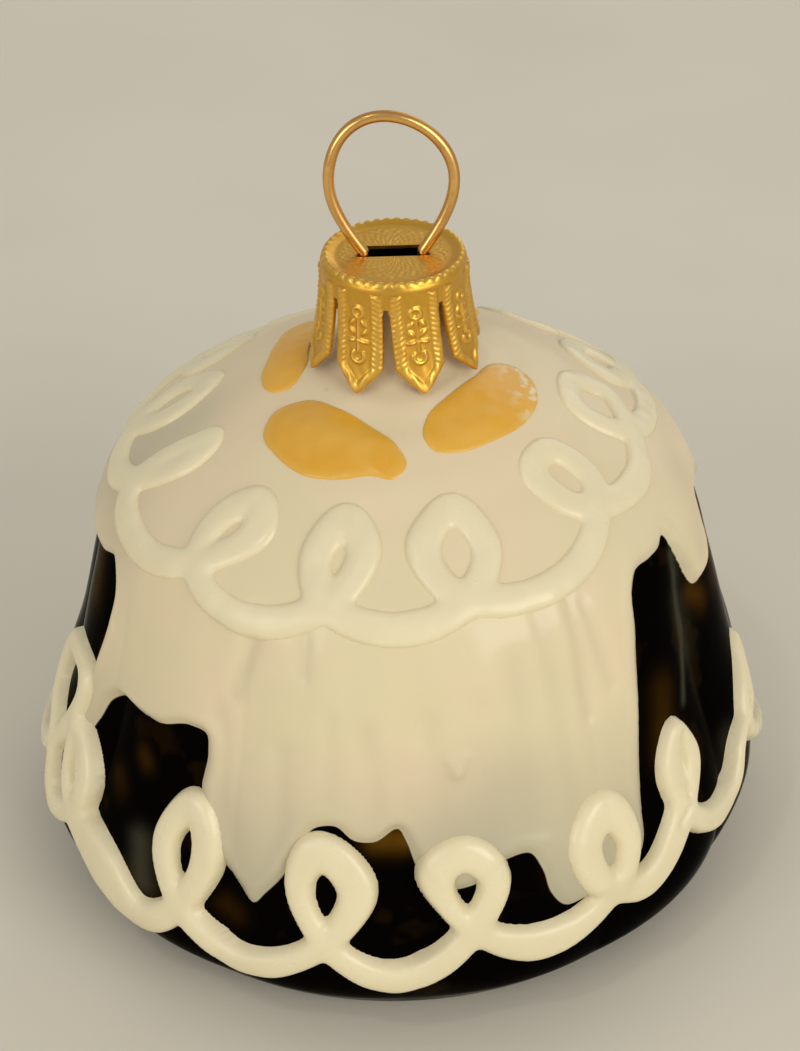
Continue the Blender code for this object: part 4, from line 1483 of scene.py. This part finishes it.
    def disc_relief(self, radius: np.ndarray, angle: np.ndarray) -> np.ndarray:
        """Pattern of the disc: fine scales in rings, a sine by a cosine, and hammered grains.

        Args:
            radius: Distance from the middle.
            angle: Angle round it.

        Returns:
            Height from 0 to 1.
        """
        turns = radius / self.scale_pitch
        scales = np.cos(26 * angle + math.pi * np.floor(turns)) * np.sin(2 * math.pi * turns)
        grains = slow_noise(np.degrees(angle), radius, ((19, 6.0), (31, -7.5), (43, 5.0)), 13)
        return np.clip(0.45 + 0.25 * scales * smoothstep(3.9, 4.6, radius) + 0.28 * grains, 0, 1)

    def disc_sheet(self, angle: np.ndarray, edge: float) -> tuple[np.ndarray, np.ndarray]:
        """Grid from the slot's edge out to the rim, with its relief.

        Args:
            angle: Angle of each column.
            edge: Radius where the disc ends.

        Returns:
            The points and their relief.
        """
        share = np.linspace(0, 1, 22)[:-1, None]
        sine, cosine = np.sin(angle), np.cos(angle)
        half_depth = self.slot[1] / 2 - self.slot_back * np.sign(cosine)
        reach = np.minimum(self.slot[0] / 2 / np.maximum(np.abs(sine), 1e-6),
                           half_depth / np.maximum(np.abs(cosine), 1e-6))
        radius = reach + (edge - reach) * share
        relief = self.disc_relief(radius, angle) * smoothstep(0.0, 0.1, share)
        return turned_points(radius, angle, self.top - 0.2 + 0.07 * relief), relief

    def rim_sheet(self, angle: np.ndarray) -> tuple[np.ndarray, np.ndarray, np.ndarray]:
        """Grid over the rim: a row of beads on its top, |sin| round it, and a rounded shoulder.

        Args:
            angle: Angle of each column.

        Returns:
            The outer points, the inner points and the relief.
        """
        profile, normal = self.rim_profile()
        dots = np.abs(np.sin(self.beads / 2 * angle)) ** 0.6
        row, width = self.bead_row
        crown = np.exp(-((profile[:, 0] - row) / width) ** 2) * (profile[:, 1] > self.top - 0.3)
        relief = dots * crown[:, None]
        raised = profile[:, None] + normal[:, None] * self.bead_rise * relief[..., None]
        under = np.broadcast_to((profile - normal * self.metal)[:, None], raised.shape)
        outer, inner = (turned_points(part[..., 0], angle, part[..., 1])
                        for part in (raised, under))
        return outer, inner, relief

    def prong_sheet(self) -> tuple[np.ndarray, np.ndarray, np.ndarray, np.ndarray]:
        """Grid of all the prongs, from the top of their figures to their tips.

        Above the slits the columns share the whole round. Below, a prong's columns follow its own
        half width, which ends in a point.

        Returns:
            The outer points, the inner points, the relief, and which rows lie below the slits' top.
        """
        down = np.linspace(0, 1, self.prong_rows)[1:, None]
        level = self.figure_top + (self.tip[1] - self.figure_top) * down
        bent = np.clip((self.slit_top - level) / (self.slit_top - self.tip[1]), 0, 1)
        spread = 0.45 * bent + 0.55 * bent**2.2
        flare = self.wall_radius + (self.tip[0] - self.wall_radius) * spread
        y = down * self.prong_length
        straight = self.root_half + (self.wide_half - self.root_half) * bent
        left = np.clip((1.012 - down) / (self.point_share + 0.012), 0, 1)
        pointed = self.wide_half * left**0.85
        whole = self.half_pitch * flare
        opened = whole + (straight - whole) * smoothstep(0.0, 0.05, bent)
        x = np.tile(self.across, self.prongs) * np.minimum(opened, pointed)
        root = np.repeat(self.centres, self.prong_columns) - math.radians(self.twist) * (1 - bent)
        angle = root + x / flare
        side_gap, tip_gap = straight - np.abs(x), (pointed - np.abs(x)) * 0.72
        along = np.where(side_gap < tip_gap, y, y + 0.6 * np.abs(x))
        gap = np.minimum(side_gap, tip_gap)
        figure = self.motif(x, y) * smoothstep(0.75, 0.95, gap)
        relief = np.maximum(self.rope(gap, along), 0.85 * figure)
        dents = 0.03 * slow_noise(np.degrees(angle), y, ((23, 2.1), (37, -3.3), (51, 2.9)), 17)
        outer = turned_points(flare + self.emboss * relief + dents, angle, level)
        return (outer, turned_points(flare - self.metal, angle, level), relief,
                level[:, 0] < self.slit_top)

    def build(self, finish: bpy.types.Material) -> bpy.types.Object:
        """Makes the cap as one pressed sheet from the slot's edge out, over the rim and down.

        Args:
            finish: The pressed brass.

        Returns:
            The piece.
        """
        full = (self.centres[:, None] - math.radians(self.twist)
                + self.across * self.half_pitch).ravel()
        rim, rim_under, rim_relief = self.rim_sheet(full)
        disc, disc_relief = self.disc_sheet(full, self.rim_profile()[0][0, 0])
        prongs, prongs_under, prong_relief, below = self.prong_sheet()
        lean = (self.form.lean, 0, 0)
        outer = np.concatenate([disc, rim, prongs]) + lean
        inner = np.concatenate([disc - (0, 0, self.metal), rim_under, prongs_under]) + lean
        rows, columns = outer.shape[:2]
        quads = grid_quads(rows, columns)[:, ::-1]
        cut = np.concatenate([np.zeros(len(disc) + len(rim), bool), below])[1:]
        over_slit = cut[:, None] & (np.arange(columns) % self.prong_columns
                                    == self.prong_columns - 1)
        points, faces, used = closed_sheet(outer.reshape(-1, 3), inner.reshape(-1, 3),
                                           quads[~over_slit.ravel()])
        relief = np.concatenate([disc_relief, 0.3 + 0.7 * rim_relief,
                                 0.2 + 0.8 * prong_relief]).ravel()[used]
        piece = make_piece("pressed_cap", points, faces, finish,
                           {"relief": np.concatenate([relief, np.zeros(len(used))])}, sharp=55.0)
        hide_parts("crown_cap")
        return piece


@dataclass(frozen=True)
class HangerWire:
    """The spring-wire loop, pinched to the slot, with two legs inside the neck."""

    form: CakeForm
    cap_top: float = 64.2
    radius: float = 0.53
    half_width: float = 5.65
    rise: float = 5.95             # from the widest place up to the top
    waist: float = 6.75            # from the slot up to the widest place
    half_gap: float = 2.72
    leg_depth: float = 6.2
    leg_splay: float = 0.35
    skew: float = -0.6
    tilt: float = 8.0
    sides: int = 28

    def course(self) -> np.ndarray:
        """The wire's middle: from the slot out along a sine, over a half ellipse, and two legs.

        Returns:
            Points from one leg's end to the other's.
        """
        climb = np.linspace(0, 1, 70)[:-1]
        side = self.half_gap + (self.half_width - self.half_gap) * np.sin(climb * math.pi / 2)
        left = np.stack([-side, self.waist * climb], -1)
        turn = np.linspace(-math.pi / 2, math.pi / 2, 151)
        arch = np.stack([self.half_width * np.sin(turn) + self.skew * np.cos(turn) ** 2,
                         self.waist + self.rise * np.cos(turn)], -1)
        share = np.linspace(0, 1, 41)[1:]
        leg = np.stack([-self.half_gap - self.leg_splay * share**2, -self.leg_depth * share], -1)
        mirror = (-1, 1)
        side, up = np.concatenate([leg[::-1], left, arch, (left * mirror)[::-1], leg * mirror]).T
        tilt = math.radians(self.tilt)
        wavy = 0.05 * np.sin(np.linspace(0, 9, len(up)))
        return np.stack([self.form.lean + side, np.maximum(up, 0.0) * math.sin(tilt) + wavy,
                         self.cap_top + np.where(up > 0, up * math.cos(tilt), up)], -1)

    def build(self, finish: bpy.types.Material) -> bpy.types.Object:
        """Makes the wire as a round tube along its course.

        Args:
            finish: The wire's finish.

        Returns:
            The piece.
        """
        course = self.course()
        uneven = 1 + 0.012 * np.sin(np.linspace(0, 61, len(course)))
        points, faces = swept_tube(course, self.radius * uneven, self.sides)
        around = np.arange(self.sides) * 6 * math.pi / self.sides
        line = 0.5 + 0.5 * np.sin(np.tile(around, len(course))
                                  + np.repeat(np.linspace(0, 5, len(course)), self.sides))
        piece = make_piece("wire_loop", points, faces, finish, {"draw_line": line})
        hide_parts("hanger_wire")
        return piece


# --- Studio -------------------------------------------------------------------------------------

@dataclass(frozen=True)
class Studio:
    """Pale table, soft light and the camera."""

    table_half: float = 3.0        # metres
    table_level: float = -0.00005
    camera_place: tuple = (0.00079, -0.18548, 0.16260)
    camera_pitch: float = 34.774   # degrees below the horizon
    camera_roll: float = -1.5
    lens: float = 78.44
    world_light: float = 0.47
    world_colour: tuple = (1.0, 0.985, 0.96)
    lamps: tuple = (               # name, place and side in metres, power in watts, colour
        ("right_window", (0.70, -0.80, 0.50), 0.7, 5.2, (1.0, 0.97, 0.92)),
        ("left_window", (-0.75, -0.75, 0.50), 0.6, 2.7, (1.0, 0.98, 0.95)),
        ("back_window", (0.55, 1.00, 0.62), 0.9, 1.8, (1.0, 0.98, 0.94)),
        ("glint", (-0.25, -0.35, 0.80), 0.04, 0.30, (1.0, 0.97, 0.92)))

    def table(self, finish: bpy.types.Material) -> None:
        """Makes the table top: a square, level with the ornament's base."""
        half, level = self.table_half, self.table_level
        mesh = bpy.data.meshes.new("table")
        mesh.from_pydata([(-half, -half, level), (half, -half, level), (half, half, level),
                          (-half, half, level)], [], [(0, 1, 2, 3)])
        mesh.materials.append(finish)
        top = bpy.data.objects.new("table", mesh)
        bpy.context.scene.collection.objects.link(top)

    def lamp(self, name: str, place: tuple, size: float, power: float, colour: tuple) -> None:
        """Hangs a square soft lamp that points at the ornament's middle.

        Args:
            name: The lamp's name.
            place: Where it hangs, in metres.
            size: Its side, in metres.
            power: Its power in watts.
            colour: Its colour.
        """
        light = bpy.data.lights.new(name, "AREA")
        light.shape = "SQUARE"
        light.size = size
        light.energy = power
        light.color = colour
        lamp = bpy.data.objects.new(name, light)
        lamp.location = place
        away = np.array(place) - (0.0, 0.0, 0.03)
        pitch = math.atan2(math.hypot(away[0], away[1]), away[2])
        lamp.rotation_euler = (pitch, 0.0, math.atan2(away[0], -away[1]))
        bpy.context.scene.collection.objects.link(lamp)

    def lights(self) -> None:
        """Hangs the lamps and sets the light that comes from everywhere."""
        for lamp in self.lamps:
            self.lamp(*lamp)
        world = bpy.data.worlds.new("room")
        world.use_nodes = True
        background = world.node_tree.nodes["Background"]
        background.inputs["Color"].default_value = (*self.world_colour, 1.0)
        background.inputs["Strength"].default_value = self.world_light
        bpy.context.scene.world = world

    def camera(self) -> None:
        """Sets the camera, looking along +Y and down, rolled a little."""
        view = bpy.data.cameras.new("camera")
        view.lens = self.lens
        view.sensor_fit = "VERTICAL"
        view.sensor_height = 36.0
        view.clip_start = 0.01
        camera = bpy.data.objects.new("camera", view)
        pitch = math.radians(90.0 - self.camera_pitch)
        tilt = math.radians(self.camera_roll)
        from_axes = Matrix.Rotation(pitch, 4, "X") @ Matrix.Rotation(tilt, 4, "Z")
        camera.matrix_world = Matrix.Translation(self.camera_place) @ from_axes
        bpy.context.scene.collection.objects.link(camera)
        bpy.context.scene.camera = camera
        bpy.context.scene.view_settings.view_transform = "Standard"


# --- The ornament -------------------------------------------------------------------------------

LOWER_RING = PipedRing(
    name="lower_piping",
    loops=(Loop.plain(-124.0, 20.5, 5.0, -98.0, 11.5, (3.4, 3.0)),
           Loop((-72.0, 20.5, 2.8), (-67.8, 28.6, 2.9), (-78.5, 28.6, 2.9), (-83.0, 23.0, 3.0),
                (-75.5, 19.0, 2.8), (-71.5, 12.8, 3.4)),
           Loop((-61.0, 16.6, 2.8), (-60.8, 19.2, 3.6), (-67.0, 23.6, 2.4), (-67.0, 19.6, 2.3),
                (-64.4, 16.0, 2.6), (-52.5, 13.2, 6.2), ((-42.5, 10.9, 4.0),)),
           Loop((-32.8, 17.6, 3.0), (-31.9, 20.6, 3.6), (-35.2, 25.2, 3.3), (-39.7, 20.8, 3.1),
                (-38.1, 17.0, 2.9), (-24.5, 10.8, 3.3)),
           Loop((-9.8, 16.5, 3.0), (-7.5, 20.6, 3.7), (-14.2, 24.2, 3.8), (-16.5, 20.8, 3.0),
                (-13.8, 16.5, 2.6), (-1.0, 11.0, 3.6)),
           Loop((10.8, 17.2, 3.0), (12.9, 21.2, 3.1), (8.5, 24.1, 3.6), (3.8, 22.5, 3.5),
                (6.6, 18.2, 2.6), (20.0, 13.1, 4.0)),
           Loop((33.6, 16.8, 2.8), (35.2, 21.2, 2.8), (31.8, 24.5, 4.1), (27.8, 22.4, 3.6),
                (29.5, 17.6, 3.2), (38.0, 14.6, 3.7)),
           Loop((47.4, 20.2, 3.8), (51.6, 24.3, 2.8), (49.3, 28.0, 2.1), (46.3, 24.4, 3.4),
                (46.8, 20.8, 2.6), (56.2, 15.4, 3.2), ((64.0, 16.2, 2.6),)),
           Loop((66.6, 18.9, 2.2), (79.0, 21.4, 2.5), (80.5, 26.0, 2.1), (76.8, 24.2, 2.1),
                (72.0, 20.9, 2.3), (92.0, 12.0, 2.8)),
           Loop.plain(124.0, 20.5, 5.0, 134.0, 11.5, (3.4, 3.0))),
    creases=(Mark((50.0, 27.2), (48.1, 21.0), 0.4, 0.3),
             Mark((47.6, 19.9), (45.4, 18.9), 0.35, 0.35),
             Mark((-14.0, 20.6), (-11.5, 17.5), 0.2, 0.4),
             Mark((81.0, 28.0), (80.0, 21.0), 0.4, 2.2)),
    back_count=6, back_tip=25.0, back_half_width=5.2, back_swag_height=11.5,
    back_widths=(3.4, 3.1), rise=1.15, band=(7.5, 33.0), cell=0.28, seed=21)

UPPER_RING = PipedRing(
    name="upper_piping",
    loops=(Loop((-95.0, 50.0, 2.7), (-93.0, 54.0, 2.9), (-99.0, 57.4, 2.9), (-106.0, 54.0, 2.8),
                (-103.0, 49.5, 2.8), (-84.0, 46.6, 2.9)),
           Loop((-71.0, 51.0, 2.7), (-67.0, 54.3, 2.9), (-68.5, 56.8, 2.8), (-74.5, 53.0, 2.8),
                (-76.0, 48.2, 2.9), (-58.5, 45.4, 3.0)),
           Loop((-39.5, 49.2, 2.8), (-34.5, 52.4, 3.3), (-39.0, 54.9, 3.2), (-45.4, 52.2, 3.1),
                (-45.6, 48.0, 2.4), (-29.5, 44.6, 3.0)),
           Loop((-11.2, 49.0, 2.8), (-8.4, 52.6, 3.2), (-13.8, 55.3, 3.2), (-18.9, 52.2, 3.0),
                (-16.6, 48.2, 2.9), (-0.8, 45.5, 3.0)),
           Loop((14.8, 48.4, 2.9), (19.4, 52.0, 2.8), (14.0, 56.1, 2.9), (5.0, 53.0, 3.1),
                (8.5, 48.9, 2.8), (24.0, 46.7, 2.9)),
           Loop((48.5, 50.6, 2.8), (55.6, 54.2, 2.9), (51.0, 57.9, 2.6), (42.0, 57.3, 2.8),
                (43.0, 53.4, 2.8), (66.5, 50.2, 2.9)),
           Loop((84.0, 53.0, 2.6), (94.0, 55.3, 2.8), (90.0, 59.0, 2.7), (77.0, 58.6, 2.7),
                (77.0, 54.8, 2.7), (102.0, 49.5, 2.8))),
    back_count=5, back_tip=56.0, back_half_width=9.0, back_swag_height=46.5,
    back_widths=(2.9, 2.8), rise=0.8, band=(41.5, 61.5), cell=0.23, seed=34)

ALMONDS = (
    Almond("almond_front_left", (
        (0.8, -14.8), (0.0, -12.7), (-2.0, -10.7), (-5.1, -8.0), (-8.6, -5.8), (-11.2, -6.6),
        (-12.1, -8.8), (-10.9, -11.7), (-8.3, -14.5), (-4.8, -15.6), (-2.4, -15.6), (-0.3, -16.0))),
    Almond("almond_front_right", (
        (2.1, -12.0), (2.5, -9.6), (4.3, -7.2), (6.8, -4.2), (9.0, -1.1), (10.6, -0.5),
        (12.2, -2.2), (12.7, -5.2), (11.4, -8.5), (8.2, -11.6), (4.8, -13.3), (2.9, -13.2)),
        painted_highlight=1.0),
    Almond("almond_back", (
        (-4.6, 13.0), (-5.0, 10.6), (-2.9, 8.7), (1.5, 8.3), (5.9, 8.9), (8.3, 10.7),
        (7.6, 13.0), (4.2, 14.7), (-0.8, 15.1))),
    Almond("almond_left", (
        (-12.3, -1.6), (-11.9, 1.9), (-11.2, 5.2), (-10.0, 8.2), (-8.0, 9.4), (-6.5, 7.8),
        (-6.9, 4.4), (-7.5, 1.2), (-8.5, -2.2), (-9.7, -4.0), (-11.0, -4.1), (-11.9, -3.2))))


def main() -> None:
    """Builds the ornament piece by piece, then its studio."""
    logging.basicConfig(level=logging.INFO, format="%(message)s")
    groups = EffectGroups.build()
    form = CakeForm()
    cake = GlassCake(form, Icing())
    cake.build(PaintedGlassFinish().build(groups))
    piping = PipingFinish().build(groups)
    for ring in (LOWER_RING, UPPER_RING):
        ring.build(cake, piping)
    ochre = AlmondFinish().build(groups)
    for almond in ALMONDS:
        almond.build(cake, ochre)
    CrownCap(form).build(PressedBrassFinish().build(groups))
    HangerWire(form).build(GoldWireFinish().build(groups))
    studio = Studio()
    studio.table(TableFinish().build(groups))
    studio.lights()
    studio.camera()


if __name__ == "__main__":
    main()
